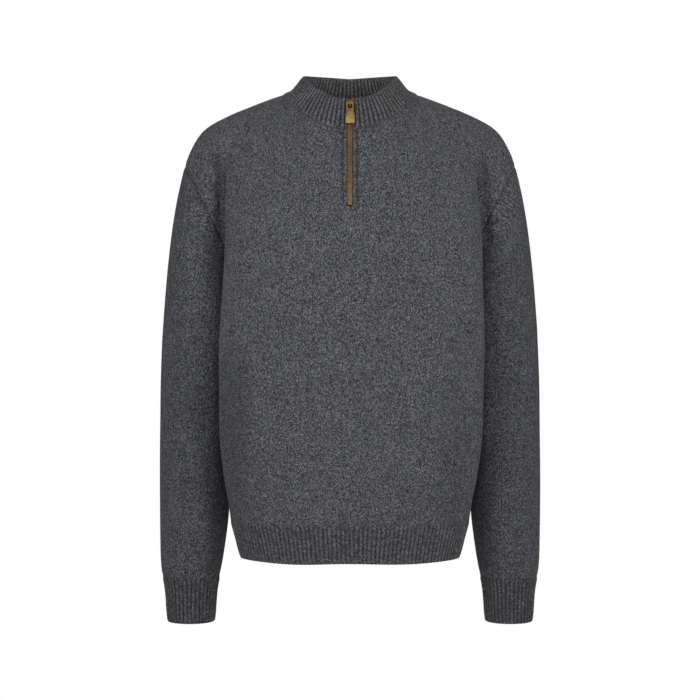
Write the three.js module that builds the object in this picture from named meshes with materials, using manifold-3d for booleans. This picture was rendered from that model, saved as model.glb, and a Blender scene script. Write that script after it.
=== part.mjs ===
// Quarter zip sweater in its worn form with no wearer: knit panels, ribbed bands and a metal zip.
// Millimetres, +Z up. The front faces -Y and the wearer's right sleeve lies at -X.
// The origin is midway between the two points where collar, shoulder seam and neck meet.
import * as THREE from "three";
import Module from "manifold-3d";

const wasm = await Module();
wasm.setup();

// Knit walls and seams.
const knit = 3;
const ribKnit = 3.4;
const ribRise = 1.1;
const ribPitch = 6.2;
const seamGap = 0.3;

// Heights of the main edges.
const hemEdge = -661;
const hemSeam = -605;
const underarm = -238;

// Neck: the seam round the neck and the rim of the collar above it.
const neck = { half: 98.5, front: 95, back: 79, side: 4.8, dipFront: 59, dipBack: 12, square: 2.3 };
const rim = { half: 66.5, front: 70, back: 61, square: 2.2 };
const collarBulge = 2;

// Height of the rim by the angle from the front middle, past both middles so that it is level there.
const rimHeight = [
  { angle: -15, z: -4.7 },
  { angle: 0, z: -6.5 },
  { angle: 15, z: -4.7 },
  { angle: 30, z: 4.2 },
  { angle: 40, z: 11.8 },
  { angle: 53, z: 22.2 },
  { angle: 70, z: 30.8 },
  { angle: 90, z: 34 },
  { angle: 105, z: 36.8 },
  { angle: 125, z: 39.1 },
  { angle: 145, z: 40.2 },
  { angle: 162, z: 40 },
  { angle: 180, z: 39 },
  { angle: 198, z: 40 },
];

// At the side of the neck the collar first lies along the shoulder, then stands up: how far in and
// how far up it has come on its way from the seam to the rim.
const flare = [
  { up: 0, inward: 0, rise: 0 },
  { up: 0.2, inward: 0.25, rise: 0.11 },
  { up: 0.38, inward: 0.46, rise: 0.22 },
  { up: 0.6, inward: 0.66, rise: 0.47 },
  { up: 0.8, inward: 0.83, rise: 0.73 },
  { up: 1, inward: 1, rise: 1 },
];
const collarUps = [0, 0.4, 1];

// Zip: half the slit between the knit edges, the chain, its tapes and its bottom stop.
const slitHalf = 3.8;
const chain = { wide: 6.6, thick: 2.4 };
const tape = { near: 1.6, far: 15, thick: 1, behind: 2.3 };
const stop = { wide: 5.6, tall: 3.4, thick: 3 };

// Columns of a body panel from its middle to its side: beside the neck, along the shoulder, then
// over the arm. The angles say where these stretches end, from the front middle round to the back.
const frontColumns = { neck: 7, shoulder: 7, arm: 5, start: 0, neckAt: 32.5, creaseAt: 88 };
const backColumns = { neck: 5, shoulder: 7, arm: 5, start: 180, neckAt: 143, creaseAt: 114 };
const sideSeamAt = 102;
const bodyRows = 10;
const chestRows = 10;
const slitRow = 3;

// Body sections by height: widest reach on the wearer's right and left, width at the side seam,
// how far forward the widest part stands, and how deep the front and the back lie.
const body = [
  { z: -605, right: 171.5, left: 171.5, side: 170, forward: 4, front: 118, back: 109 },
  { z: -575, right: 175, left: 175.5, side: 169, forward: 16, front: 124, back: 113 },
  { z: -546, right: 179, left: 180, side: 167.5, forward: 30, front: 129, back: 117 },
  { z: -490, right: 184, left: 186, side: 165, forward: 42, front: 135, back: 122 },
  { z: -405, right: 184.5, left: 188, side: 163, forward: 45, front: 139, back: 127 },
  { z: -348, right: 184, left: 188.5, side: 162, forward: 45, front: 140, back: 129 },
  { z: -264, right: 179, left: 186.5, side: 162, forward: 45, front: 140, back: 130 },
  { z: -207, right: 177, left: 186, side: 163, forward: 45, front: 138, back: 128 },
  { z: -150, right: 178.5, left: 185, side: 163, forward: 45, front: 132, back: 123 },
  { z: -60, right: 180, left: 183, side: 163, forward: 45, front: 117, back: 110 },
];
const bodySquare = 2.3;

// Shoulder line from the neck to the top of the armhole, as seen from the front.
const shoulder = [
  { x: 98.5, z: 4.8 },
  { x: 116, z: -1 },
  { x: 145.7, z: -12.1 },
  { x: 174.8, z: -23.6 },
  { x: 203.3, z: -38 },
  { x: 217.8, z: -52.5 },
  { x: 231, z: -76 },
  { x: 238.7, z: -96.5 },
];
const shoulderBreak = 184;
const shoulderTipY = 8;

// Armhole: how far it bows forward and back of the line from underarm to shoulder tip.
const armholeDeep = 62;
const armholeBow = { front: 14, back: 6 };
const armPuff = 5;
const creaseFill = 15;

// Sleeve rings from the armhole down: outer and inner edge seen from the front, how far back the
// two edges lie, and half the depth.
const sleeve = [
  { outX: 247.5, outZ: -133, inX: 172, inZ: -249, outY: 11, inY: 16, deep: 63 },
  { outX: 253.5, outZ: -163, inX: 171.5, inZ: -268, outY: 14, inY: 18, deep: 62.5 },
  { outX: 259.4, outZ: -201, inX: 170, inZ: -291, outY: 17, inY: 20, deep: 62 },
  { outX: 265.6, outZ: -254, inX: 168.5, inZ: -323, outY: 21, inY: 22, deep: 61 },
  { outX: 270.3, outZ: -307, inX: 168.5, inZ: -358, outY: 25, inY: 25, deep: 60 },
  { outX: 273.6, outZ: -360, inX: 169, inZ: -396, outY: 28, inY: 28, deep: 59 },
  { outX: 275.7, outZ: -412, inX: 170.5, inZ: -436, outY: 30, inY: 30, deep: 57.5 },
  { outX: 276.5, outZ: -462, inX: 173, inZ: -475, outY: 31, inY: 31, deep: 56 },
  { outX: 277, outZ: -510, inX: 175, inZ: -516, outY: 31, inY: 31, deep: 55 },
  { outX: 277.1, outZ: -555, inX: 176.5, inZ: -557, outY: 30, inY: 30, deep: 53.5 },
  { outX: 276.6, outZ: -600, inX: 178.5, inZ: -600, outY: 28, inY: 28, deep: 52 },
  { outX: 276, outZ: -632, inX: 182, inZ: -632, outY: 26, inY: 26, deep: 50 },
  { outX: 275.3, outZ: -660, inX: 186, inZ: -660, outY: 24, inY: 24, deep: 47 },
  { outX: 274, outZ: -679, inX: 189.4, inZ: -679, outY: 23, inY: 23, deep: 44.5 },
  { outX: 271.7, outZ: -691, inX: 192, inZ: -691, outY: 22, inY: 22, deep: 42.5 },
];

// Ribbed bands: size of each row against the seam, from the free edge up to the seam.
const hemBand = [
  { z: hemEdge, wide: 0.914, deep: 0.9 },
  { z: -632, wide: 0.956, deep: 0.955 },
];
const cuffBand = [
  { z: -758, wide: 0.815, deep: 0.83, shift: -0.2 },
  { z: -710, wide: 0.9, deep: 0.91, shift: 0 },
];

// Largest folds, as soft troughs pressed into the cloth: where they run, how wide and how deep.
const folds = [
  { face: -1, fromX: -127, fromZ: -355, toX: -155, toZ: -530, wide: 20, deep: 5 },
  { face: -1, fromX: 138, fromZ: -375, toX: 128, toZ: -495, wide: 22, deep: 4 },
  { face: -1, fromX: -60, fromZ: -560, toX: 40, toZ: -572, wide: 16, deep: 2.5 },
  { face: 1, fromX: -120, fromZ: -300, toX: -70, toZ: -470, wide: 24, deep: 4 },
  { face: 1, fromX: 112, fromZ: -345, toX: 84, toZ: -520, wide: 22, deep: 5 },
  { face: -1, fromX: -250, fromZ: -395, toX: -205, toZ: -455, wide: 14, deep: 3.5 },
  { face: -1, fromX: 252, fromZ: -420, toX: 210, toZ: -470, wide: 14, deep: 3.5 },
  { face: 1, fromX: -262, fromZ: -350, toX: -215, toZ: -400, wide: 15, deep: 3.5 },
  { face: 1, fromX: 262, fromZ: -330, toX: 218, toZ: -385, wide: 15, deep: 3.5 },
];

const radians = THREE.MathUtils.degToRad;
const lerp = THREE.MathUtils.lerp;
const ease = (x, from, to) => THREE.MathUtils.smoothstep(x, from, to);
const point = (x, y, z) => new THREE.Vector3(x, y, z);

// A column's value at a place in a table, read along one smooth curve through the rows.
function read(table, key, at, column) {
  const last = table.length - 1;
  let k = 0;
  while (k < last - 1 && at > table[k + 1][key]) k += 1;
  const slope = (i) => {
    const a = table[Math.max(i - 1, 0)];
    const b = table[Math.min(i + 1, last)];
    return (b[column] - a[column]) / (b[key] - a[key]);
  };
  const step = table[k + 1][key] - table[k][key];
  const t = (at - table[k][key]) / step;
  const a = table[k][column];
  const b = table[k + 1][column];
  const near = (2 * t ** 3 - 3 * t ** 2 + 1) * a + (t ** 3 - 2 * t ** 2 + t) * step * slope(k);
  return near + (3 * t ** 2 - 2 * t ** 3) * b + (t ** 3 - t ** 2) * step * slope(k + 1);
}

// A rounded square: the reach at an angle, 1 at the four quarters.
const rounded = (angle, square) =>
  (Math.abs(Math.cos(angle)) ** square + Math.abs(Math.sin(angle)) ** square) ** (-1 / square);

// Presses the largest folds into a point of the front or back.
function folded(p) {
  for (const f of folds) {
    if (Math.sign(p.y) !== f.face) continue;
    const run = point(f.toX - f.fromX, 0, f.toZ - f.fromZ);
    const off = point(p.x - f.fromX, 0, p.z - f.fromZ);
    const t = off.dot(run) / run.lengthSq();
    const across = off.addScaledVector(run, -THREE.MathUtils.clamp(t, 0, 1)).length();
    p.y -= f.face * f.deep * Math.exp(-((across / f.wide) ** 2));
  }
  return p;
}

// A point of the body at an angle from the front middle round to the back middle, at a height.
function bodyAt(side, degrees, z) {
  const angle = radians(degrees);
  const at = (column) => read(body, "z", z, column);
  const seamWide = at("side");
  const lobe = 1.2 * (at(side < 0 ? "right" : "left") - seamWide);
  const forward = at("forward");
  const back = 0.45 * forward;
  const turn = ease(degrees, 80, 120);
  const wide = seamWide + lobe * (1 - ease(degrees, 72, 100));
  const deep = lerp(at("front") - forward, at("back") - back, turn);
  const r = rounded(angle, bodySquare);
  const y = lerp(-forward, back, turn) - deep * r * Math.cos(angle);
  return point(side * wide * r * Math.sin(angle), y, z);
}

// A point of a ring round the neck at a height, from the front middle round to the back middle.
function ringAt(ring, side, degrees, z) {
  const angle = radians(degrees);
  const r = rounded(angle, ring.square);
  const y = -(degrees < 90 ? ring.front : ring.back) * r * Math.cos(angle);
  return point(side * ring.half * r * Math.sin(angle), y, z);
}
function neckAt(side, degrees) {
  const dip = degrees < 90 ? neck.dipFront : neck.dipBack;
  return ringAt(neck, side, degrees, neck.side - dip * Math.cos(radians(degrees)) ** 2);
}
const rimAt = (side, degrees) => ringAt(rim, side, degrees, read(rimHeight, "angle", degrees, "z"));

// A point of the shoulder seam at a distance from the middle.
function shoulderAt(side, x) {
  const out = (x - neck.half) / (shoulder.at(-1).x - neck.half);
  return point(side * x, shoulderTipY * out, read(shoulder, "x", x, "z"));
}

// A point of the armhole: 0 at the underarm, 1 at the shoulder tip, round the front or the back.
function armholeAt(side, share, face) {
  const low = bodyAt(side, sideSeamAt, underarm);
  const high = shoulderAt(side, shoulder.at(-1).x);
  const angle = Math.PI * share;
  const up = (1 - Math.cos(angle)) / 2;
  const p = low.lerp(high, up);
  const bow = face < 0 ? armholeBow.front : armholeBow.back;
  p.x += side * bow * Math.sin(angle) * (1 - up) ** 3;
  p.y += face * armholeDeep * Math.sin(angle);
  return p;
}

// Angles of a panel's columns at the underarm, from its middle to the side seam.
function columnAngles(plan) {
  const start = plan.start === 0 ? THREE.MathUtils.radToDeg(Math.asin(slitHalf / 180)) : 180;
  const angles = [start];
  for (let i = 1; i <= plan.neck; i += 1) angles.push(lerp(start, plan.neckAt, i / plan.neck));
  for (let i = 1; i <= plan.shoulder; i += 1)
    angles.push(lerp(plan.neckAt, plan.creaseAt, i / plan.shoulder));
  for (let i = 1; i <= plan.arm; i += 1) angles.push(lerp(plan.creaseAt, sideSeamAt, i / plan.arm));
  return angles;
}

// Columns draw together towards the shoulder tip, where the seam turns down.
const tipTurn = 1.2;
const tipShare = (t) => Math.sin(t * tipTurn) / Math.sin(tipTurn);

// Where a panel's columns end at its top: round the neck seam, then out along the shoulder seam.
function topEdge(side, plan) {
  const start = plan.start === 0 ? THREE.MathUtils.radToDeg(Math.asin(slitHalf / neck.half)) : 180;
  const edge = [];
  for (let i = 0; i <= plan.neck; i += 1) edge.push(neckAt(side, lerp(start, 90, i / plan.neck)));
  for (let i = 1; i <= plan.shoulder; i += 1)
    edge.push(shoulderAt(side, lerp(neck.half, shoulderBreak, i / plan.shoulder)));
  for (let i = 1; i <= plan.arm; i += 1)
    edge.push(shoulderAt(side, lerp(shoulderBreak, shoulder.at(-1).x, tipShare(i / plan.arm))));
  return edge;
}

// One level row of half a panel, its columns evenly spread at the hem and as at the underarm above.
function bodyRow(side, plan, z) {
  const angles = columnAngles(plan);
  const fine = [];
  const steps = 160;
  for (let i = 0; i <= steps; i += 1)
    fine.push(bodyAt(side, lerp(angles[0], sideSeamAt, i / steps), z));
  const length = [0];
  for (let i = 1; i <= steps; i += 1) length.push(length[i - 1] + fine[i].distanceTo(fine[i - 1]));
  const total = length[steps];
  const blend = ease(z, hemSeam, underarm);
  return angles.map((degrees, i) => {
    const even = i / (angles.length - 1);
    const turned = (degrees - angles[0]) / (sideSeamAt - angles[0]);
    const along = turned * steps;
    const k = Math.min(Math.floor(along), steps - 1);
    const high = lerp(length[k], length[k + 1], along - k) / total;
    const want = lerp(even, high, blend) * total;
    let j = 0;
    while (j < steps - 1 && length[j + 1] < want) j += 1;
    const t = (want - length[j]) / (length[j + 1] - length[j]);
    return fine[j].clone().lerp(fine[j + 1], THREE.MathUtils.clamp(t, 0, 1));
  });
}

// How far a chest row stands up its panel: rows draw close together under the shoulder seam.
const chestShare = (row) => Math.sin((Math.PI / 2) * (row / chestRows) ** 1.1);

// One row of half a panel above the underarm: over the chest or back, down the crease beside the
// arm, and out over the arm to the armhole.
function chestRow(side, face, plan, row) {
  const v = chestShare(row);
  const roll = 1 - Math.sqrt(1 - v * v);
  const fill = creaseFill * ease(v, 0.35, 0.72) * (1 - ease(v, 0.8, 1));
  const angles = columnAngles(plan);
  const top = topEdge(side, plan);
  const crease = plan.neck + plan.shoulder;
  const out = angles.map((degrees, i) => {
    if (i > crease) return null;
    const z = lerp(underarm, top[i].z, v);
    const p = bodyAt(side, degrees, z);
    const toShoulder = ease(i, 0, plan.neck);
    const beside = ease(i, crease - 2, crease);
    p.x = lerp(p.x, top[i].x, v * v);
    p.y = lerp(p.y, top[i].y, lerp(v * v * v, roll, toShoulder)) + face * fill * beside;
    return p;
  });
  const bottom = angles.map((degrees) => bodyAt(side, degrees, underarm));
  const from = out[crease];
  const to = armholeAt(side, row / chestRows, face);
  for (let i = crease + 1; i < angles.length; i += 1) {
    const t = (i - crease) / plan.arm;
    const span = (edge) => edge[i].clone().sub(edge[crease].clone().lerp(edge.at(-1), t));
    const p = from.clone().lerp(to, t);
    p.addScaledVector(span(bottom), 1 - v).addScaledVector(span(top), v);
    p.y += face * armPuff * Math.sin(Math.PI * t) * Math.sin(Math.PI * v);
    out[i] = p;
  }
  return out;
}

// A body panel as rows of points from the hem seam up, each row from one side round to the other.
function bodyPanel(face, plan) {
  const rows = [];
  const halves = face < 0 ? [-1, 1] : [1, -1];
  for (let row = 0; row <= bodyRows + chestRows; row += 1) {
    const z = lerp(hemSeam, underarm, row / bodyRows);
    const half = (side) =>
      row < bodyRows ? bodyRow(side, plan, z) : chestRow(side, face, plan, row - bodyRows);
    const first = half(halves[0]).reverse();
    const second = half(halves[1]);
    rows.push([...first, ...(plan.start === 0 ? second : second.slice(1))].map(folded));
  }
  return rows;
}

// A sleeve as rings from the cuff seam up to the armhole, the points going round as seen from above.
function sleevePanel(side) {
  const shares = [];
  for (let i = 0; i < chestRows; i += 1) shares.push({ share: i / chestRows, face: 1 });
  for (let i = chestRows; i > 0; i -= 1) shares.push({ share: i / chestRows, face: -1 });
  if (side > 0) shares.reverse();
  const rings = sleeve.toReversed().map((ring) =>
    shares.map(({ share, face }) => {
      const angle = Math.PI * share;
      const up = (1 - Math.cos(angle)) / 2;
      const y = lerp(ring.inY, ring.outY, up) + face * ring.deep * Math.sin(angle);
      return folded(point(side * lerp(ring.inX, ring.outX, up), y, lerp(ring.inZ, ring.outZ, up)));
    }),
  );
  rings.push(shares.map(({ share, face }) => folded(armholeAt(side, share, face))));
  return rings;
}

// A ribbed band under a seam: the seam's own points, drawn in row by row towards the free edge.
function bandUnder(seam, rows, middle) {
  const drawn = rows.map((row) =>
    seam.map((p) =>
      point(
        middle.x + (row.shift ?? 0) + (p.x - middle.x) * row.wide,
        middle.y + (p.y - middle.y) * row.deep,
        row.z,
      ),
    ),
  );
  return [...drawn, seam];
}

const frontRows = bodyPanel(-1, frontColumns);
const backRows = bodyPanel(1, backColumns);
const sleeveRows = { right: sleevePanel(-1), left: sleevePanel(1) };
const hemRows = bandUnder(
  [...frontRows[0], ...backRows[0].slice(1, -1)],
  hemBand,
  point(0, 0, hemSeam),
);
const cuffRows = {
  right: bandUnder(sleeveRows.right[0], cuffBand, point(-232.5, 22, 0)),
  left: bandUnder(sleeveRows.left[0], cuffBand, point(232.5, 22, 0)),
};

// The collar's columns, from one zip edge round the back to the other, with their angles.
const neckStart = THREE.MathUtils.radToDeg(Math.asin(slitHalf / neck.half));
const collarColumns = [];
for (const side of [1, -1]) {
  const half = [];
  for (let i = 0; i <= frontColumns.neck; i += 1)
    half.push({ side, degrees: lerp(neckStart, 90, i / frontColumns.neck) });
  for (let i = 1; i <= backColumns.neck; i += 1)
    half.push({ side, degrees: lerp(90, 180, i / backColumns.neck) });
  if (side > 0) collarColumns.push(...half);
  else collarColumns.push(...half.reverse().slice(1));
}

// A point of the collar between its seam and its rim.
const rimStart = THREE.MathUtils.radToDeg(Math.asin(slitHalf / rim.half));
function collarAt(side, degrees, up, seamPoint) {
  const turned = (degrees - neckStart) / (90 - neckStart);
  const high = rimAt(side, degrees < 90 ? lerp(rimStart, 90, turned) : degrees);
  const bent = Math.sin(radians(degrees)) ** 4;
  const inward = lerp(up, read(flare, "up", up, "inward"), bent);
  const rise = lerp(up, read(flare, "up", up, "rise"), bent);
  const p = point(0, 0, lerp(seamPoint.z, high.z, rise));
  p.x = lerp(seamPoint.x, high.x, inward);
  p.y = lerp(seamPoint.y, high.y, inward);
  const out = point(p.x, p.y, 0).normalize();
  return p.addScaledVector(out, collarBulge * (1 - bent) * Math.sin(Math.PI * up));
}
const collarSeam = collarColumns.map(({ side, degrees }) => folded(neckAt(side, degrees)));
const collarRows = collarUps.map((up) =>
  collarColumns.map(({ side, degrees }, i) => collarAt(side, degrees, up, collarSeam[i])),
);

// Outward directions that pieces share along their seams: each group of cloth has its own mean
// direction at a point, and where two groups meet, the seam faces halfway between them.
const groups = {};
const keyOf = (p) => [p.x, p.y, p.z].map((n) => Math.round(n * 50)).join();
function weld(group, rows, closed, open) {
  groups[group] ??= new Map();
  const sums = groups[group];
  for (let r = 0; r + 1 < rows.length; r += 1) {
    const count = rows[r].length;
    for (let c = 0; c < (closed ? count : count - 1); c += 1) {
      if (open?.(r, c)) continue;
      const d = (c + 1) % count;
      const corners = [rows[r][c], rows[r][d], rows[r + 1][d], rows[r + 1][c]];
      const across = corners[2].clone().sub(corners[0]);
      const area = across.cross(corners[3].clone().sub(corners[1]));
      for (const p of corners) {
        const key = keyOf(p);
        sums.set(key, (sums.get(key) ?? point(0, 0, 0)).add(area));
      }
    }
  }
}
function outward(p) {
  const sum = point(0, 0, 0);
  for (const sums of Object.values(groups)) {
    const own = sums.get(keyOf(p));
    if (own) sum.add(own.clone().normalize());
  }
  return sum.normalize();
}
const inSlit = (r, c) => r >= bodyRows + slitRow && c === frontRows[0].length / 2 - 1;
weld("body", frontRows, false, inSlit);
weld("body", backRows, false);
weld("sleeves", sleeveRows.right, true);
weld("sleeves", sleeveRows.left, true);
weld("bands", hemRows, true);
weld("bands", cuffRows.right, true);
weld("bands", cuffRows.left, true);
weld("bands", collarRows, false);

// A closed wall round a sheet of points. Each point has its outward direction and how far the wall
// reaches out and in from it. Free edges draw back by half the seam gap.
function wall(rows, closed, open) {
  const count = rows[0].length;
  const cells = [];
  const has = (r, c) => {
    if (r < 0 || r >= rows.length - 1) return false;
    if (!closed && (c < 0 || c >= count - 1)) return false;
    return !open?.(r, (c + count) % count);
  };
  for (let r = 0; r + 1 < rows.length; r += 1)
    for (let c = 0; c < (closed ? count : count - 1); c += 1) if (has(r, c)) cells.push([r, c]);
  const id = (r, c) => r * count + ((c + count) % count);
  const flat = rows.flat();
  const edges = [];
  for (const [r, c] of cells) {
    if (!has(r - 1, c)) edges.push([id(r, c), id(r, c + 1)]);
    if (!has(r + 1, c)) edges.push([id(r + 1, c + 1), id(r + 1, c)]);
    if (!has(r, c + 1)) edges.push([id(r, c + 1), id(r + 1, c + 1)]);
    if (!has(r, c - 1)) edges.push([id(r + 1, c), id(r, c)]);
  }
  const draw = new Map();
  for (const [a, b] of edges) {
    const along = flat[b].at.clone().sub(flat[a].at).normalize();
    for (const k of [a, b]) {
      const inward = flat[k].out.clone().cross(along).normalize();
      draw.set(k, [...(draw.get(k) ?? []), inward]);
    }
  }
  const moved = flat.map((p, k) => {
    const pulls = draw.get(k);
    if (!pulls) return p.at;
    const sum = pulls.reduce((total, pull) => total.add(pull), point(0, 0, 0));
    const mean = sum.divideScalar(pulls.length);
    return p.at.clone().addScaledVector(mean, seamGap / 2 / Math.max(mean.lengthSq(), 0.4));
  });
  const place = [];
  flat.forEach((p, k) => {
    const outer = moved[k].clone().addScaledVector(p.out, p.reachOut);
    const inner = moved[k].clone().addScaledVector(p.out, -p.reachIn);
    place.push(outer.x, outer.y, outer.z, inner.x, inner.y, inner.z);
  });
  const index = [];
  const spot = (k) => point(...place.slice(3 * k, 3 * k + 3));
  const quad = (a, b, c, d) => {
    const short = spot(a).distanceTo(spot(c)) < spot(b).distanceTo(spot(d));
    index.push(...(short ? [a, b, c, a, c, d] : [a, b, d, b, c, d]));
  };
  for (const [r, c] of cells) {
    const k = [id(r, c), id(r, c + 1), id(r + 1, c + 1), id(r + 1, c)].map((n) => 2 * n);
    quad(k[0], k[1], k[2], k[3]);
    quad(k[3] + 1, k[2] + 1, k[1] + 1, k[0] + 1);
  }
  for (const [a, b] of edges) quad(2 * a, 2 * a + 1, 2 * b + 1, 2 * b);
  const used = [...new Set(index)].sort((a, b) => a - b);
  const renumber = new Map(used.map((old, k) => [old, k]));
  const kept = used.flatMap((k) => place.slice(3 * k, 3 * k + 3));
  const geometry = new THREE.BufferGeometry();
  geometry.setAttribute("position", new THREE.Float32BufferAttribute(kept, 3));
  geometry.setIndex(index.map((k) => renumber.get(k)));
  geometry.computeVertexNormals();
  return geometry;
}

// A plain knit wall of even thickness on a panel's points.
const plainWall = (rows, closed, open) =>
  wall(
    rows.map((row) =>
      row.map((p) => ({ at: p, out: outward(p), reachOut: knit / 2, reachIn: knit / 2 })),
    ),
    closed,
    open,
  );

// A ribbed band: each column of the sheet is split into whole ribs, raised on the outside only.
function ribbedWall(rows, closed, slim) {
  const count = rows[0].length;
  const cells = closed ? count : count - 1;
  const seam = rows.at(slim === "first" ? -1 : 0);
  const fine = rows.map(() => []);
  for (let c = 0; c < cells; c += 1) {
    const d = (c + 1) % count;
    const ribs = Math.max(1, Math.round(seam[c].distanceTo(seam[d]) / ribPitch));
    const last = !closed && c === cells - 1;
    for (let k = 0; k < 2 * ribs + (last ? 1 : 0); k += 1) {
      const t = k / (2 * ribs);
      rows.forEach((row, r) => {
        const edge = slim === "first" ? r === 0 : r === rows.length - 1;
        const thin = edge ? 0.7 : 1;
        fine[r].push({
          at: row[c].clone().lerp(row[d], t),
          out: outward(row[c]).lerp(outward(row[d]), t),
          reachOut: thin * (ribKnit / 2 + (k % 2 ? ribRise : 0)),
          reachIn: (thin * ribKnit) / 2,
        });
      });
    }
  }
  return wall(fine, closed);
}

// The line down the middle of the zip, from the collar rim to the foot of the slit, with the
// outward direction at each point.
const middleColumn = frontRows[0].length / 2;
const zipLine = [
  ...[1, 0.75, 0.5, 0.25].map((up) => collarAt(1, neckStart, up, collarSeam[0])),
  ...frontRows.slice(bodyRows + slitRow).reverse().map((row) => row[middleColumn].clone()),
].map((p) => p.setX(0));
function zipAt(distance) {
  let left = distance;
  let k = 0;
  while (k < zipLine.length - 2 && left > zipLine[k].distanceTo(zipLine[k + 1])) {
    left -= zipLine[k].distanceTo(zipLine[k + 1]);
    k += 1;
  }
  const run = zipLine[k + 1].clone().sub(zipLine[k]).normalize();
  return { at: zipLine[k].clone().addScaledVector(run, left), run };
}
const zipLength = zipLine.slice(1).reduce((sum, p, k) => sum + p.distanceTo(zipLine[k]), 0);

// A strip that follows the zip line, between two places across and two depths from the line.
function strip(from, to, left, right, back, front) {
  const steps = Math.ceil((to - from) / 9);
  const rows = [];
  for (let i = 0; i <= steps; i += 1) {
    const { at } = zipAt(lerp(from, to, i / steps));
    const before = zipAt(Math.max(lerp(from, to, (i - 0.5) / steps), 0)).at;
    const after = zipAt(Math.min(lerp(from, to, (i + 0.5) / steps), zipLength)).at;
    const run = after.sub(before).normalize();
    const out = point(0, run.z, -run.y);
    rows.push(
      [
        [left, back],
        [right, back],
        [right, front],
        [left, front],
      ].map(([x, depth]) => at.clone().addScaledVector(out, depth).setX(x)),
    );
  }
  const place = rows.flat().flatMap((p) => [p.x, p.y, p.z]);
  const index = [];
  const quad = (a, b, c, d) => index.push(a, b, c, a, c, d);
  for (let i = 0; i < steps; i += 1)
    for (let k = 0; k < 4; k += 1) {
      const next = (k + 1) % 4;
      quad(4 * i + k, 4 * i + next, 4 * i + 4 + next, 4 * i + 4 + k);
    }
  quad(3, 2, 1, 0);
  const end = 4 * steps;
  quad(end, end + 1, end + 2, end + 3);
  const geometry = new THREE.BufferGeometry();
  geometry.setAttribute("position", new THREE.Float32BufferAttribute(place, 3));
  geometry.setIndex(index);
  return geometry;
}

// The slider stands near the top of the chain. Its own frame has x across, y up the zip, z outward.
const sliderAt = 14;
const slider = {
  half: 5,
  up: 8,
  down: 8,
  face: 3.5,
  plate: 1.5,
  keelHalf: 3,
  keelFoot: 1.9,
  backFace: -3.9,
  neckHalf: 1.1,
  neckFrom: 3.4,
};
const bail = { half: 1.1, reach: 5.4, post: 1.4, rise: 3.6, bar: 1.2 };
const pull = {
  pivotZ: slider.face + slider.plate + 1.3,
  barRadius: 0.9,
  thick: 1.4,
  topHalf: 5.3,
  neckHalf: 4.8,
  footHalf: 6.5,
  windowHalf: 2.5,
  windowEnd: 9.6,
  neckAt: 15,
  blockAt: 20.5,
  length: 36,
};
const chainTop = sliderAt - slider.neckFrom + 0.5;
const box = (x0, x1, y0, y1, z0, z1) =>
  wasm.Manifold.cube([x1 - x0, y1 - y0, z1 - z0]).translate([x0, y0, z0]);

// A manifold solid as a three.js geometry.
function geometryOf(solid) {
  const mesh = solid.getMesh();
  const geometry = new THREE.BufferGeometry();
  const place = [];
  for (let i = 0; i < mesh.numVert; i += 1)
    place.push(...mesh.vertProperties.subarray(i * mesh.numProp, i * mesh.numProp + 3));
  geometry.setAttribute("position", new THREE.Float32BufferAttribute(place, 3));
  geometry.setIndex([...mesh.triVerts]);
  return geometry;
}

// Slider body: front plate with a keel over the chain, back plate, the neck that joins them above
// the chain, and the bail that holds the pull.
function sliderBody() {
  const s = slider;
  const plateTop = s.face + s.plate;
  const front = box(-s.half, s.half, -s.down, s.up, s.face, plateTop);
  const keel = box(-s.keelHalf, s.keelHalf, -s.down + 1, s.up - 1, s.keelFoot, s.face + 0.1);
  const back = box(-s.half, s.half, -s.down + 1, s.up - 1, s.backFace - s.plate, s.backFace);
  const neckBar = box(-s.neckHalf, s.neckHalf, s.neckFrom, s.up - 1, s.backFace - 0.1, s.face + 0.1);
  const top = plateTop + bail.rise;
  const low = box(-bail.half, bail.half, -bail.reach, bail.post - bail.reach, plateTop - 0.1, top);
  const high = box(-bail.half, bail.half, bail.reach - bail.post, bail.reach, plateTop - 0.1, top);
  const bar = box(-bail.half, bail.half, -bail.reach, bail.reach, top - bail.bar, top);
  return geometryOf([keel, back, neckBar, low, high, bar].reduce((sum, s1) => sum.add(s1), front));
}

// Pull tab: a bar under the bail, a window round the bail, a waist and a square foot.
function pullTab() {
  const p = pull;
  const outline = [
    [-p.topHalf, 0],
    [-p.topHalf, -p.windowEnd + 1],
    [-p.neckHalf, -p.neckAt],
    [-p.footHalf, -p.blockAt],
    [-p.footHalf, -p.length],
    [p.footHalf, -p.length],
    [p.footHalf, -p.blockAt],
    [p.neckHalf, -p.neckAt],
    [p.topHalf, -p.windowEnd + 1],
    [p.topHalf, 0],
  ];
  const plate = wasm.CrossSection.ofPolygons([outline]).extrude(p.thick).translate([0, 0, -p.thick / 2]);
  const window = box(-p.windowHalf, p.windowHalf, -p.windowEnd, 2, -p.thick, p.thick);
  const bar = wasm.Manifold.cylinder(2 * p.topHalf, p.barRadius, p.barRadius, 16, true).rotate([0, 90, 0]);
  return geometryOf(plate.subtract(window).add(bar));
}

// Colours as seen: dark grey melange wool, darker ribs, brass chain and a pale gold pull.
const cloth = (colour) => new THREE.MeshStandardMaterial({ color: colour, roughness: 0.95, metalness: 0 });
const metal = (colour) =>
  new THREE.MeshStandardMaterial({ color: colour, roughness: 0.35, metalness: 0.9 });
const colours = {
  body: "#505155",
  sleeve: "#47484b",
  rib: "#444447",
  cuff: "#3b3b3d",
  tape: "#3a3a3d",
  brass: "#72603f",
  gold: "#a88f62",
};

const sweater = new THREE.Group();
sweater.name = "quarter_zip_sweater";
function add(name, geometry, material, parent = sweater) {
  const mesh = new THREE.Mesh(geometry, material);
  mesh.name = name;
  parent.add(mesh);
  return mesh;
}

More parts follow.
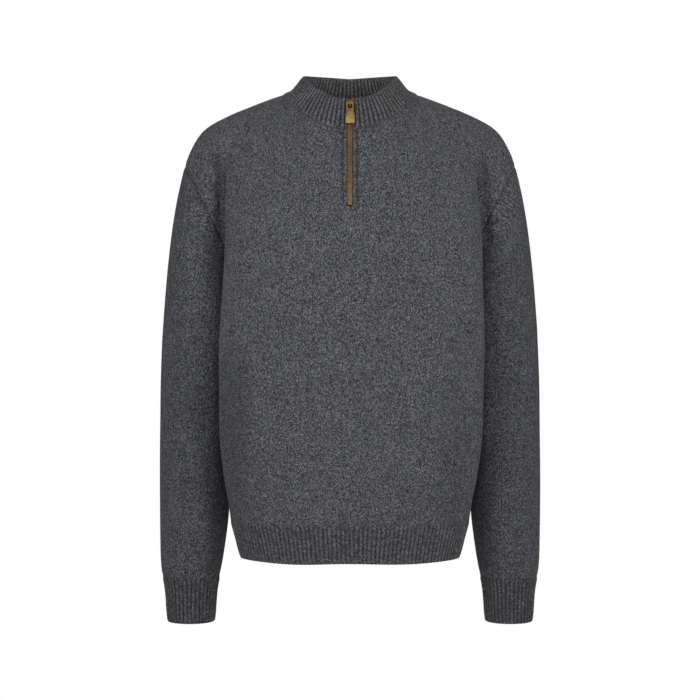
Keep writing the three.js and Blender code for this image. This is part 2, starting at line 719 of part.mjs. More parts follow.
add("front_panel", plainWall(frontRows, false, inSlit), cloth(colours.body));
add("back_panel", plainWall(backRows, false), cloth(colours.body));
add("hem_rib", ribbedWall(hemRows, true, "first"), cloth(colours.rib));
add("collar", ribbedWall(collarRows, false, "last"), cloth(colours.body));
for (const hand of ["right", "left"]) {
  add(`sleeve_${hand}`, plainWall(sleeveRows[hand], true), cloth(colours.sleeve));
  add(`cuff_${hand}`, ribbedWall(cuffRows[hand], true, "first"), cloth(colours.cuff));
}

const stopAt = zipLength - 5;
const tapeBack = -tape.behind - tape.thick;
add(
  "zip_tape_right",
  strip(2, zipLength, -tape.far, -tape.near, tapeBack, -tape.behind),
  cloth(colours.tape),
);
add(
  "zip_tape_left",
  strip(2, zipLength, tape.near, tape.far, tapeBack, -tape.behind),
  cloth(colours.tape),
);
add(
  "zip_teeth",
  strip(chainTop, stopAt - 0.5, -chain.wide / 2, chain.wide / 2, -chain.thick / 2, chain.thick / 2),
  metal(colours.brass),
);
add(
  "zip_bottom_stop",
  strip(stopAt, stopAt + stop.tall, -stop.wide / 2, stop.wide / 2, -stop.thick / 2, stop.thick / 2),
  metal(colours.gold),
);

const sliderPlace = new THREE.Group();
const { at: sliderSpot, run: sliderRun } = zipAt(sliderAt);
sliderPlace.position.copy(sliderSpot);
sliderPlace.quaternion.setFromRotationMatrix(
  new THREE.Matrix4().makeBasis(
    point(1, 0, 0),
    sliderRun.clone().negate(),
    point(0, sliderRun.z, -sliderRun.y),
  ),
);
sweater.add(sliderPlace);
add("zip_slider", sliderBody(), metal(colours.gold), sliderPlace);
add("zip_pull", pullTab(), metal(colours.gold), sliderPlace).position.z = pull.pivotZ;

export default sweater;
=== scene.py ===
import bmesh
import bpy
import numpy as np
from mathutils import Matrix, Vector


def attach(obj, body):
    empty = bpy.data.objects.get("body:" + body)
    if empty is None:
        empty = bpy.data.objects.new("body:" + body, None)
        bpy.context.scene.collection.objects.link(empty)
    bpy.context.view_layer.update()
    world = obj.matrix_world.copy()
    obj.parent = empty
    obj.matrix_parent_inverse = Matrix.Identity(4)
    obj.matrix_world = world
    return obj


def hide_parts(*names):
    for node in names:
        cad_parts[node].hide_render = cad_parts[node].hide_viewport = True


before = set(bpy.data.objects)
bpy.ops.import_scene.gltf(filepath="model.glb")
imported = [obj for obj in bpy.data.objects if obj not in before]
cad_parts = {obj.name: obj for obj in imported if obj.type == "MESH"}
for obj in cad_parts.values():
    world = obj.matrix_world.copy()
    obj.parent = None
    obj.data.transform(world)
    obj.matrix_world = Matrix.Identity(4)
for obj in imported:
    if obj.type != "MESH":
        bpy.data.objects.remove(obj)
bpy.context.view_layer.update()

# Front and back body: two flat-knitted panels of a dark grey melange lambswool jersey, steamed to
# shape and linked together at the side seams and along the shoulders. The front has a slit for the
# zip, its edges turned in and stitched down 10 mm from the middle.
WALL = 0.003
HEM_SEAM = -0.605
UNDERARM = -0.238
SIDE_SEAM_AT = 102.0
# rows of the pattern below and above the underarm, each drawn in finer steps
BODY_ROWS = 10
CHEST_ROWS = 10
STEPS_A_ROW = 5
COLUMN_STEPS = 4
SLIT_ROW = 13
SLIT_HALF = 0.0038
CHEST_HALF = 0.18
# level sections are a little squarer than an ellipse, which has 2
SQUARE = 2.3
# height, widest reach right and left, width at the side seam, how far forward the widest part
# stands, depth of the front and of the back
BODY = np.array(
    [
        [-0.605, 0.1715, 0.1715, 0.1700, 0.004, 0.118, 0.109],
        [-0.575, 0.1750, 0.1755, 0.1690, 0.016, 0.124, 0.113],
        [-0.546, 0.1790, 0.1800, 0.1675, 0.030, 0.129, 0.117],
        [-0.490, 0.1840, 0.1860, 0.1650, 0.042, 0.135, 0.122],
        [-0.405, 0.1845, 0.1880, 0.1630, 0.045, 0.139, 0.127],
        [-0.348, 0.1840, 0.1885, 0.1620, 0.045, 0.140, 0.129],
        [-0.264, 0.1790, 0.1865, 0.1620, 0.045, 0.140, 0.130],
        [-0.207, 0.1770, 0.1860, 0.1630, 0.045, 0.138, 0.128],
        [-0.150, 0.1785, 0.1850, 0.1630, 0.045, 0.132, 0.123],
        [-0.060, 0.1800, 0.1830, 0.1630, 0.045, 0.117, 0.110],
    ]
)
# the shoulder seam: reach from the middle, height
SHOULDER = np.array(
    [
        [0.0985, 0.0048],
        [0.1160, -0.0010],
        [0.1457, -0.0121],
        [0.1748, -0.0236],
        [0.2033, -0.0380],
        [0.2178, -0.0525],
        [0.2310, -0.0760],
        [0.2387, -0.0965],
    ]
)
# beyond the break it turns down over the arm, its columns closer together towards the tip
SHOULDER_BREAK = 0.184
SHOULDER_TIP_Y = 0.008
TIP_TURN = 1.2
# the widest part of the side stands out as a lobe in front of the side seam: how much further,
# and between which angles it dies away and the front turns to the back
LOBE = 1.2
LOBE_FADE = (72, 100)
TURN_BACK = (80, 120)
# the back is widest this share as far behind the middle as the front is before it
BACK_SHIFT = 0.45
NECK = dict(
    half=0.0985, front=0.095, back=0.079, side=0.0048, dip_front=0.059, dip_back=0.012, square=2.3
)
# how far the armhole reaches forward and back, and bows outward low in front (-1) and behind (1)
ARMHOLE_DEEP = 0.062
ARMHOLE_BOW = {-1: 0.014, 1: 0.006}
ARM_PUFF = 0.005
# cloth fills the crease beside the arm between these shares of the way up
CREASE_FILL = 0.015
FILL_RISE = (0.35, 0.72)
FILL_FALL = (0.8, 1)
# the rows of the chest lie closer together towards the shoulder
ROW_BEND = 1.1
# where sewn cloth hangs smoothly, from the point of the neck and down the crease beside the arm:
# the column in the middle, columns reached, rows where it begins and rows where it ends
HANGING = [
    ("neck", 2.6, (10.5, 14.0), (18.2, 20.0)),
    ("crease", 1.5, (14.0, 17.5), (18.8, 20.0)),
]
HANG_PASSES = 90
# front (-1) or back (1), from x and z, to x and z, width, depth: the large folds, then the small
# ones. A minus depth stands out.
FOLDS = [
    (-1, -0.174, -0.385, -0.170, -0.515, 0.016, 0.0070),
    (-1, -0.133, -0.375, -0.135, -0.525, 0.020, -0.0050),
    (-1, 0.115, -0.385, 0.117, -0.525, 0.021, -0.0040),
    (-1, 0.157, -0.385, 0.158, -0.510, 0.018, 0.0045),
    (-1, -0.060, -0.560, 0.040, -0.572, 0.016, 0.0025),
    (1, -0.120, -0.300, -0.070, -0.470, 0.024, 0.0040),
    (1, 0.112, -0.345, 0.084, -0.520, 0.022, 0.0050),
    (-1, -0.250, -0.395, -0.205, -0.455, 0.014, 0.0035),
    (-1, 0.252, -0.420, 0.210, -0.470, 0.014, 0.0035),
    (1, -0.262, -0.350, -0.215, -0.400, 0.015, 0.0035),
    (1, 0.262, -0.330, 0.218, -0.385, 0.015, 0.0035),
    (-1, -0.209, -0.100, -0.190, -0.132, 0.0060, 0.0060),
    (-1, -0.186, -0.100, -0.187, -0.205, 0.0075, 0.0070),
    (-1, 0.1945, -0.105, 0.195, -0.205, 0.0075, 0.0070),
    (-1, 0.206, -0.086, 0.190, -0.120, 0.0065, 0.0022),
    (-1, -0.218, -0.128, -0.228, -0.142, 0.0050, 0.0030),
    (-1, -0.214, -0.158, -0.196, -0.186, 0.0080, 0.0020),
    (-1, 0.172, -0.150, 0.152, -0.230, 0.014, -0.0018),
    (-1, -0.168, -0.155, -0.150, -0.240, 0.014, -0.0018),
    (-1, -0.100, -0.300, -0.138, -0.400, 0.030, -0.0024),
    (-1, 0.118, -0.250, 0.104, -0.420, 0.030, -0.0022),
    (-1, -0.235, -0.300, -0.262, -0.345, 0.013, 0.0016),
    (-1, 0.232, -0.560, 0.262, -0.600, 0.014, 0.0018),
    (-1, -0.252, -0.590, -0.216, -0.628, 0.013, 0.0020),
    (1, 0.205, -0.120, 0.176, -0.185, 0.012, 0.0024),
    (1, -0.205, -0.125, -0.178, -0.180, 0.012, 0.0022),
    (1, 0.020, -0.060, 0.090, -0.045, 0.016, 0.0015),
    (1, -0.030, -0.520, -0.110, -0.555, 0.018, 0.0024),
    (1, -0.255, -0.560, -0.215, -0.600, 0.014, 0.0024),
    (1, 0.255, -0.575, 0.218, -0.615, 0.014, 0.0020),
]
# soft painted shade on the front, from x and z, to x and z, width, depth: where the cloth closes in
# front of the arm, where the sleeve turns in behind the body, down the sides of the body, and, with
# a minus, painted light where the top of the sleeve turns up to the light
PAINTED_SHADE_AND_LIGHT = [
    (-0.1898, -0.088, -0.1848, -0.205, 0.0056, 0.62),
    (0.1905, -0.094, 0.1945, -0.205, 0.0080, 0.46),
    (0.1930, -0.215, 0.1925, -0.300, 0.0070, 0.22),
    (0.1890, -0.520, 0.2010, -0.675, 0.0130, 0.42),
    (-0.1890, -0.520, -0.2010, -0.675, 0.0130, 0.34),
    (0.1850, -0.390, 0.1890, -0.520, 0.0100, 0.20),
    (-0.1690, -0.400, -0.1630, -0.590, 0.0270, 0.40),
    (0.1480, -0.460, 0.1430, -0.590, 0.0200, 0.26),
    (-0.2220, -0.185, -0.2130, -0.390, 0.0210, -0.34),
    (0.2270, -0.110, 0.2220, -0.215, 0.0190, -0.26),
]
# how far behind the middle plane the painted shade has gone, and where it is full
SHADE_FADE = (-0.02, 0.01)
# wave numbers across and up in 1/m, phase and height of the faint unevenness of steamed knit
RIPPLES = [
    (31.0, 17.0, 0.4, 0.0009),
    (-19.0, 43.0, 2.1, 0.0007),
    (58.0, -26.0, 4.0, 0.0005),
    (-47.0, -66.0, 1.2, 0.0004),
]
# depth over which front and back folds, and front and back ripples, run into each other
FOLD_BLEND = 0.02
RIPPLE_BLEND = 0.03


def lerp(a, b, t):
    return a + (b - a) * t


def ease(x, low, high):
    t = np.clip((x - low) / (high - low), 0, 1)
    return t * t * (3 - 2 * t)


def bend(a, b, leave, arrive, t):
    """Part of the way from a to b, on a curve that leaves and arrives in the given directions."""
    near = (2 * t**3 - 3 * t**2 + 1) * a + (t**3 - 2 * t**2 + t) * leave
    return near + (3 * t**2 - 2 * t**3) * b + (t**3 - t**2) * arrive


def read(table, at, column):
    """A column's value at a place in a table, along one smooth curve through its rows."""
    keys, values = table[:, 0], table[:, column]
    slopes = np.gradient(values, keys)
    slopes[1:-1] = (values[2:] - values[:-2]) / (keys[2:] - keys[:-2])
    k = np.clip(np.searchsorted(keys, at) - 1, 0, len(keys) - 2)
    step = keys[k + 1] - keys[k]
    t = (at - keys[k]) / step
    return bend(values[k], values[k + 1], step * slopes[k], step * slopes[k + 1], t)


def lengths_down(points):
    """Length from the first point to each along a line, or down each column of a sheet."""
    steps = np.linalg.norm(np.diff(points, axis=0), axis=-1)
    return np.concatenate([np.zeros_like(steps[:1]), np.cumsum(steps, axis=0)])


def closed_up(grid):
    return np.concatenate([grid, grid[:, :1]], axis=1)


def reach(angle, square):
    return (np.abs(np.cos(angle)) ** square + np.abs(np.sin(angle)) ** square) ** (-1 / square)


def body_at(side, degrees, z):
    """Points of the body at angles from the front middle round to the back middle."""
    angle = np.radians(degrees)
    seam_wide = read(BODY, z, 3)
    lobe = LOBE * (read(BODY, z, 1 if side < 0 else 2) - seam_wide)
    forward = read(BODY, z, 4)
    turn = ease(degrees, *TURN_BACK)
    wide = seam_wide + lobe * (1 - ease(degrees, *LOBE_FADE))
    deep = lerp(read(BODY, z, 5) - forward, read(BODY, z, 6) - BACK_SHIFT * forward, turn)
    r = reach(angle, SQUARE)
    y = lerp(-forward, BACK_SHIFT * forward, turn) - deep * r * np.cos(angle)
    return np.stack(np.broadcast_arrays(side * wide * r * np.sin(angle), y, z), -1)


def neck_at(ring, side, degrees):
    angle = np.radians(degrees)
    r = reach(angle, ring["square"])
    front = degrees < 90
    y = -np.where(front, ring["front"], ring["back"]) * r * np.cos(angle)
    z = ring["side"] - np.where(front, ring["dip_front"], ring["dip_back"]) * np.cos(angle) ** 2
    return np.stack([side * ring["half"] * r * np.sin(angle), y, z], -1)


def shoulder_at(side, x):
    out = (x - NECK["half"]) / (SHOULDER[-1, 0] - NECK["half"])
    return np.stack([side * x, SHOULDER_TIP_Y * out, read(SHOULDER, x, 1)], -1)


def armhole_at(side, share, face):
    low = body_at(side, np.array(SIDE_SEAM_AT), UNDERARM)
    high = shoulder_at(side, SHOULDER[-1, 0])
    angle = np.pi * share
    up = (1 - np.cos(angle)) / 2
    p = low + (high - low) * up[..., None]
    p[..., 0] += side * ARMHOLE_BOW[face] * np.sin(angle) * (1 - up) ** 3
    p[..., 1] += face * ARMHOLE_DEEP * np.sin(angle)
    return p


def near_line(points, x0, z0, x1, z1, wide):
    """How near points lie to a line seen from the front: 1 on it, dying away over its width."""
    run = np.array([x1 - x0, z1 - z0])
    off = points[..., [0, 2]] - [x0, z0]
    t = np.clip(off @ run / (run @ run), 0, 1)
    across = np.linalg.norm(off - t[..., None] * run, axis=-1)
    return np.exp(-((across / wide) ** 2))


def folded(points):
    """The points with the folds and the faint unevenness pressed into the cloth."""
    p = points.copy()
    for face, *line, deep in FOLDS:
        side = np.clip(0.5 + face * p[..., 1] / FOLD_BLEND, 0, 1)
        p[..., 1] -= face * deep * side * near_line(p, *line)
    turn = np.tanh(p[..., 1] / RIPPLE_BLEND)
    for across, up, phase, high in RIPPLES:
        p[..., 1] += high * turn * np.sin(across * p[..., 0] + up * p[..., 2] + phase + turn)
    return p


# how much painted shade, or with a minus painted light, each point gets in the wool's colour
def painted_shade_and_light(points):
    front = ease(-points[..., 1], *SHADE_FADE)
    return sum(deep * near_line(points, *line) * front for *line, deep in PAINTED_SHADE_AND_LIGHT)


def slit_angle(half_width):
    return np.degrees(np.arcsin(SLIT_HALF / half_width))


def plan(neck, shoulder, arm, back_from, neck_angle, crease_angle, extra):
    """Half a panel's columns, counted from its middle over neck, shoulder and arm, and the angle of
    each round the body. The back starts at its middle, and the front at the edge of the slit."""
    last = neck + shoulder + arm
    # finer columns beside the side seam
    beside_seam = [last - 0.16, last - 0.08]
    columns = np.union1d(np.arange(COLUMN_STEPS * last + 1) / COLUMN_STEPS, [*extra, *beside_seam])
    angles = [back_from or slit_angle(CHEST_HALF), neck_angle, crease_angle, SIDE_SEAM_AT]
    return dict(
        neck=neck,
        crease=neck + shoulder,
        last=last,
        columns=columns,
        top_start=back_from or slit_angle(NECK["half"]),
        angles=np.interp(columns, [0, neck, neck + shoulder, last], angles),
    )


def top_edge(side, cut):
    i = cut["columns"][:, None]
    round_neck = neck_at(NECK, side, lerp(cut["top_start"], 90, cut["columns"] / cut["neck"]))
    level = (cut["columns"] - cut["neck"]) / (cut["crease"] - cut["neck"])
    turned = (cut["columns"] - cut["crease"]) / (cut["last"] - cut["crease"])
    tip = np.sin(np.clip(turned, 0, 1) * TIP_TURN) / np.sin(TIP_TURN)
    x = lerp(NECK["half"], SHOULDER_BREAK, np.clip(level, 0, 1))
    x = x + (SHOULDER[-1, 0] - SHOULDER_BREAK) * tip
    return np.where(i <= cut["neck"], round_neck, shoulder_at(side, x))


def low_row(side, cut, z):
    """A level row of half a panel, evenly spread at the hem and as at the underarm above."""
    steps = 240
    first, angles = cut["angles"][0], cut["angles"]
    fine = body_at(side, np.linspace(first, SIDE_SEAM_AT, steps + 1), z)
    length = lengths_down(fine)
    turned = (angles - first) / (SIDE_SEAM_AT - first) * steps
    high = np.interp(turned, np.arange(steps + 1), length)
    even = cut["columns"] / cut["last"] * length[-1]
    want = lerp(even, high, ease(z, HEM_SEAM, UNDERARM))
    return np.stack([np.interp(want, length, fine[:, k]) for k in range(3)], -1)


def high_row(side, face, cut, row):
    """A row of half a panel over the chest, down the crease beside the arm, and over the arm."""
    v = np.sin(np.pi / 2 * (row / CHEST_ROWS) ** ROW_BEND)
    roll = 1 - np.sqrt(max(1 - v * v, 0))
    fill = CREASE_FILL * ease(v, *FILL_RISE) * (1 - ease(v, *FILL_FALL))
    i, crease, top = cut["columns"], cut["crease"], top_edge(side, cut)
    z = lerp(UNDERARM, top[:, 2], v)
    p = body_at(side, cut["angles"], z)
    p[:, 0] = lerp(p[:, 0], top[:, 0], v * v)
    p[:, 1] = lerp(p[:, 1], top[:, 1], lerp(v**3, roll, ease(i, 0, cut["neck"])))
    p[:, 1] += face * fill * ease(i, crease - 2, crease)
    k = int(np.argmin(np.abs(i - crease)))
    arm = slice(k + 1, None)
    t = ((i[arm] - crease) / (cut["last"] - crease))[:, None]
    bottom = body_at(side, cut["angles"], UNDERARM)
    end = armhole_at(side, np.array(row / CHEST_ROWS), face)

    def bulge(edge):
        return edge[arm] - lerp(edge[k], edge[-1], t)

    p[arm] = lerp(p[k], end, t) + bulge(bottom) * (1 - v) + bulge(top) * v
    p[arm, 1] += face * ARM_PUFF * np.sin(np.pi * t[:, 0]) * np.sin(np.pi * v)
    return p


# finer steps beside the hem, where the panel is linked to the rib
body_steps = np.union1d(
    np.arange(STEPS_A_ROW * (BODY_ROWS + CHEST_ROWS) + 1) / STEPS_A_ROW, [0.04, 0.08, 0.13]
)


def body_panel(face, cut):
    halves = []
    for side in (-1, 1):
        rows = []
        for row in body_steps:
            if row < BODY_ROWS:
                rows.append(low_row(side, cut, lerp(HEM_SEAM, UNDERARM, row / BODY_ROWS)))
            else:
                rows.append(high_row(side, face, cut, row - BODY_ROWS))
        half = np.array(rows)
        soft = np.zeros((len(body_steps), len(cut["columns"]) - 2))
        for middle, wide, begins, ends in HANGING:
            near = np.exp(-(((cut["columns"] - cut[middle]) / wide) ** 2))[1:-1]
            high = ease(body_steps, *begins) * (1 - ease(body_steps, *ends))
            soft = np.maximum(soft, high[:, None] * near)
        for _ in range(HANG_PASSES):
            pull = (half[:, :-2] + half[:, 2:]) / 2 - half[:, 1:-1]
            half[:, 1:-1] += 0.5 * soft[..., None] * pull
        halves.append(half)
    if face < 0:
        return folded(np.concatenate([halves[0][:, ::-1], halves[1]], axis=1))
    return folded(np.concatenate([halves[1][:, ::-1], halves[0][:, 1:]], axis=1))


def areas(grid, closed, missing=None):
    """Each point's share of the outward area of the cells round it."""
    g = closed_up(grid) if closed else grid
    a, b, c, d = g[:-1, :-1], g[:-1, 1:], g[1:, 1:], g[1:, :-1]
    area = np.cross(c - a, d - b)
    if missing is not None:
        area[missing] = 0
    total = np.zeros_like(g)
    for rows, columns in ((0, 0), (0, 1), (1, 0), (1, 1)):
        total[rows : rows + area.shape[0], columns : columns + area.shape[1]] += area
    if closed:
        total[:, 0] += total[:, -1]
        total = total[:, :-1]
    return total


def unit(v):
    return v / np.maximum(np.linalg.norm(v, axis=-1, keepdims=True), 1e-12)


def seam_dip(distance, deep=0.0012, wide=0.0028):
    return deep * np.exp(-((distance / wide) ** 2))


def knit_lengths(grid, closed):
    """Metres across and up the knit at each point, with one more column where a tube closes."""
    g = closed_up(grid) if closed else grid
    across = lengths_down(np.swapaxes(g[..., :2], 0, 1)).T
    middle = across.shape[1] // 2
    across -= across[:, middle : middle + 1]
    return np.stack([across, lengths_down(g)], -1)


def new_object(name, data):
    obj = bpy.data.objects.new(name, data)
    bpy.context.scene.collection.objects.link(obj)
    return obj


def smooth_mesh(mesh, material, sharp):
    mesh.polygons.foreach_set("use_smooth", [True] * len(mesh.polygons))
    mesh.set_sharp_from_angle(angle=np.radians(sharp))
    mesh.materials.append(material)


def mesh_object(name, points, faces, material, uv, sharp=50):
    mesh = bpy.data.meshes.new(name)
    mesh.from_pydata(points.tolist(), [], faces)
    mesh.uv_layers.new(name="knit").uv.foreach_set("vector", np.ravel(uv))
    smooth_mesh(mesh, material, sharp)
    return new_object(name, mesh)


def note(obj, key, values):
    """Keeps a number with each point of a mesh, for its material or its geometry tree."""
    obj.data.attributes.new(key, "FLOAT", "POINT").data.foreach_set("value", np.ravel(values))


def knit_panel(name, grid, normals, out, dark, closed, material, missing=None):
    """A closed knit wall round a sheet of points; out is how far it reaches outward at each, and
    dark is how much darker the wool is painted there: at a seam for its packed wool and the painted
    shade of its groove, and in the creases and down the sides painted shade, with painted light
    where it is below nought."""
    rows, count = grid.shape[:2]
    cells = np.ones((rows - 1, count if closed else count - 1), bool)
    if missing is not None:
        cells &= ~missing
    outer = grid + normals * out[..., None]
    inner = grid - normals * WALL / 2
    points = np.concatenate([outer.reshape(-1, 3), inner.reshape(-1, 3)])
    lengths = knit_lengths(grid, closed)
    wide = lengths.shape[1]
    half = rows * count
    faces, spots = [], []

    def add(corners, layers):
        faces.append(
            [r * count + c % count + layer * half for (r, c), layer in zip(corners, layers)]
        )
        spots.append([r * wide + c for r, c in corners])

    def present(r, c):
        if not 0 <= r < rows - 1:
            return False
        return cells[r, c % count] if closed else 0 <= c < count - 1 and cells[r, c]

    for r, c in np.argwhere(cells).tolist():
        a, b, d, e = (r, c), (r, c + 1), (r + 1, c + 1), (r + 1, c)
        add([a, b, d, e], [0] * 4)
        add([e, d, b, a], [1] * 4)
        for open_side, p, q in (
            (not present(r - 1, c), a, b),
            (not present(r + 1, c), d, e),
            (not present(r, c + 1), b, d),
            (not present(r, c - 1), e, a),
        ):
            if open_side:
                add([p, p, q, q], [0, 1, 1, 0])
    uv = lengths.reshape(-1, 2)[np.array(spots).ravel()]
    obj = mesh_object(name, points, faces, material, uv)
    # the inner face of the wall gets half the darkening, of a seam and of the painted shade and
    # light
    note(obj, "seam", [dark, dark * 0.5])
    # stitches fade into fuzz where rows and columns lean together, as under the arm
    lean = np.abs((unit(np.gradient(grid, axis=1)) * unit(np.gradient(grid, axis=0))).sum(-1))
    note(obj, "lean", [ease(lean, 0.6, 0.9)] * 2)
    return obj


def maths(tree, operation, *values):
    made = tree.nodes.new("ShaderNodeMath")
    made.operation = operation
    for socket, value in zip(made.inputs, values):
        if isinstance(value, bpy.types.NodeSocket):
            tree.links.new(value, socket)
        else:
            socket.default_value = value
    return made.outputs[0]


def node(tree, kind, links=(), operation=None, **values):
    """A new node with its inputs set by name; links feed other sockets into inputs."""
    made = tree.nodes.new(kind)
    if operation:
        made.operation = operation
    for key, value in values.items():
        made.inputs[key.replace("_", " ")].default_value = value
    for key, socket in dict(links).items():
        tree.links.new(socket, made.inputs[key])
    return made


def new_material(name):
    material = bpy.data.materials.new(name)
    material.use_nodes = True
    return material, material.node_tree, material.node_tree.nodes["Principled BSDF"]


def finish(tree, shader, colour, relief, strength, deep, **values):
    """Joins a colour and a relief to a shader and sets its other values by name."""
    bump = node(tree, "ShaderNodeBump", {"Height": relief}, Strength=strength, Distance=deep)
    tree.links.new(colour, shader.inputs["Base Color"])
    tree.links.new(bump.outputs[0], shader.inputs["Normal"])
    for key, value in values.items():
        shader.inputs[key.replace("_", " ")].default_value = value


def knit_place(tree):
    """Metres across and along the knit, from its own map."""
    place = tree.nodes.new("ShaderNodeUVMap")
    place.uv_map = "knit"
    parts = node(tree, "ShaderNodeSeparateXYZ", {"Vector": place.outputs[0]})
    return place.outputs[0], parts.outputs[0], parts.outputs[1]


def noted(tree, key):
    made = tree.nodes.new("ShaderNodeAttribute")
    made.attribute_name = key
    return made.outputs["Fac"]


# how the wool's shade is spread between its darkest and palest fibres: place in the mix, shade
FIBRES = [(0.20, 0.22), (0.38, 0.55), (0.50, 0.92), (0.62, 1.40), (0.82, 2.9)]
# how strongly the noted seam darkening, with its painted shade and light, darkens or lightens the
# wool
SEAM_AND_SHADE_DARKEN = 0.62
STITCH_SLANT = 1.3


def wool(name, shade, wale=0.0023, course=0.0014, rib=None, painted_trough_shade=0.0, spread=1.28):
    """Melange knit: V stitches in relief, each in its own mix of dark and pale fibre, with painted
    shade between them. On a rib the troughs between the raised wales are painted darker, painted
    shade."""
    material, tree, shader = new_material(name)

    def calc(*what):
        return maths(tree, *what)

    def speckle(vector, **sizes):
        return node(tree, "ShaderNodeTexNoise", {"Vector": vector}, **sizes).outputs["Fac"]

    place, over, up = knit_place(tree)
    thing = tree.nodes.new("ShaderNodeTexCoord").outputs["Object"]
    # the two legs of each stitch lean together into a V, and each leg is rounded
    across = calc("DIVIDE", over, wale)
    slope = calc("ABSOLUTE", calc("SUBTRACT", calc("FRACT", across), 0.5))
    slanted = calc("ADD", calc("DIVIDE", up, course), calc("MULTIPLY", slope, STITCH_SLANT))
    legs = calc("MULTIPLY", across, 2.0)
    leg = calc("SINE", calc("MULTIPLY", calc("FRACT", legs), np.pi))
    bar = calc("SINE", calc("MULTIPLY", calc("FRACT", slanted), np.pi))
    # neither shows where the knit is fuzzy
    fuzz = noted(tree, "lean")
    clear = calc("SUBTRACT", 1.0, fuzz)
    height = calc("MULTIPLY", calc("POWER", calc("MULTIPLY", leg, bar), 0.55), clear)

    # the mix of fibres: by leg, by fine fibre, and by tuft where it is fuzzy
    cell = tree.nodes.new("ShaderNodeCombineXYZ")
    tree.links.new(calc("FLOOR", legs), cell.inputs[0])
    tree.links.new(calc("FLOOR", slanted), cell.inputs[1])
    stitch = node(tree, "ShaderNodeTexWhiteNoise", {"Vector": cell.outputs[0]}).outputs["Value"]
    fibre = speckle(thing, Scale=760.0, Detail=2.0, Roughness=0.7)
    tuft = node(tree, "ShaderNodeTexVoronoi", {"Vector": thing}, Scale=640.0).outputs["Color"]
    by_leg = calc("MULTIPLY", calc("SUBTRACT", stitch, 0.5), clear)
    by_tuft = calc("MULTIPLY", calc("SUBTRACT", tuft, 0.5), fuzz)
    mix = calc("MULTIPLY_ADD", by_leg, 0.40, calc("MULTIPLY_ADD", fibre, 0.80, 0.10))
    mix = calc("MULTIPLY_ADD", by_tuft, 0.60, mix)
    mix = calc("MULTIPLY_ADD", mix, spread, 0.5 - 0.5 * spread)
    ramp = tree.nodes.new("ShaderNodeValToRGB")
    tree.links.new(mix, ramp.inputs[0])
    stops = ramp.color_ramp.elements
    while len(stops) < len(FIBRES):
        stops.new(0.5)
    for stop, (spot, tone) in zip(stops, FIBRES):
        stop.position = spot
        stop.color = (shade[0] * tone, shade[1] * tone, shade[2] * tone, 1)

    # streaks drawn along each course, soft clouds, painted shade between the stitches, and the
    # darkening noted at the seams, which also carries the painted shade and light of the creases
    # and sides
    drawn = node(tree, "ShaderNodeVectorMath", {0: place}, "MULTIPLY")
    drawn.inputs[1].default_value = (38.0, 1 / course, 0)
    yarn = speckle(drawn.outputs[0], Scale=1.0, Detail=1.0)
    cloud = speckle(thing, Scale=48.0, Detail=5.0, Roughness=0.72)
    level = calc("MULTIPLY_ADD", yarn, 0.36, 0.82)
    level = calc("MULTIPLY", level, calc("MULTIPLY_ADD", cloud, 0.60, 0.70))
    level = calc("MULTIPLY", level, calc("MULTIPLY_ADD", height, 0.30, 0.80))
    seam_and_painted_shade = calc("MULTIPLY_ADD", noted(tree, "seam"), -SEAM_AND_SHADE_DARKEN, 1.0)
    level = calc("MULTIPLY", level, seam_and_painted_shade)
    if rib:
        turn = calc("ADD", calc("DIVIDE", over, rib), noted(tree, "ply"))
        wave = calc("COSINE", calc("MULTIPLY", turn, 2 * np.pi))
        trough = calc("POWER", calc("MULTIPLY_ADD", wave, -0.5, 0.5), 1.6)
        edge = calc("MULTIPLY_ADD", noted(tree, "rise"), 0.8, 0.2)
        # painted shade in the troughs between the ribs, less where the ribs are low
        shaded = calc("MULTIPLY_ADD", trough, -painted_trough_shade, 0.4 * painted_trough_shade)
        level = calc("MULTIPLY", level, calc("MULTIPLY_ADD", shaded, edge, 1.0))
    tinted = node(tree, "ShaderNodeVectorMath", {0: ramp.outputs[0], "Scale": level}, "SCALE")

    tangle = speckle(thing, Scale=1500.0, Detail=3.0, Roughness=0.7)
    relief = calc("MULTIPLY_ADD", tangle, 0.35, height)
    finish(
        tree,
        shader,
        tinted.outputs[0],
        relief,
        strength=0.55,
        deep=0.0006,
        Roughness=0.95,
        Specular_IOR_Level=0.12,
        Sheen_Weight=0.10,
        Sheen_Roughness=0.55,
        Sheen_Tint=(0.72, 0.74, 0.78, 1),
    )
    return material


# closer columns beside the slit carry the stitched line of the turned edge
placket = np.round(np.concatenate([[0.05], np.arange(0.1, 1.01, 0.08)]), 3)
front_cut = plan(7, 7, 5, None, 32.5, 88, placket)
back_cut = plan(5, 7, 5, 180, 143, 114, [])
front_grid = body_panel(-1, front_cut)
back_grid = body_panel(1, back_cut)
slit_cells = np.zeros((len(body_steps) - 1, front_grid.shape[1] - 1), bool)
slit_from = int(np.searchsorted(body_steps, SLIT_ROW))
slit_column = front_grid.shape[1] // 2 - 1
slit_cells[slit_from:, slit_column] = True

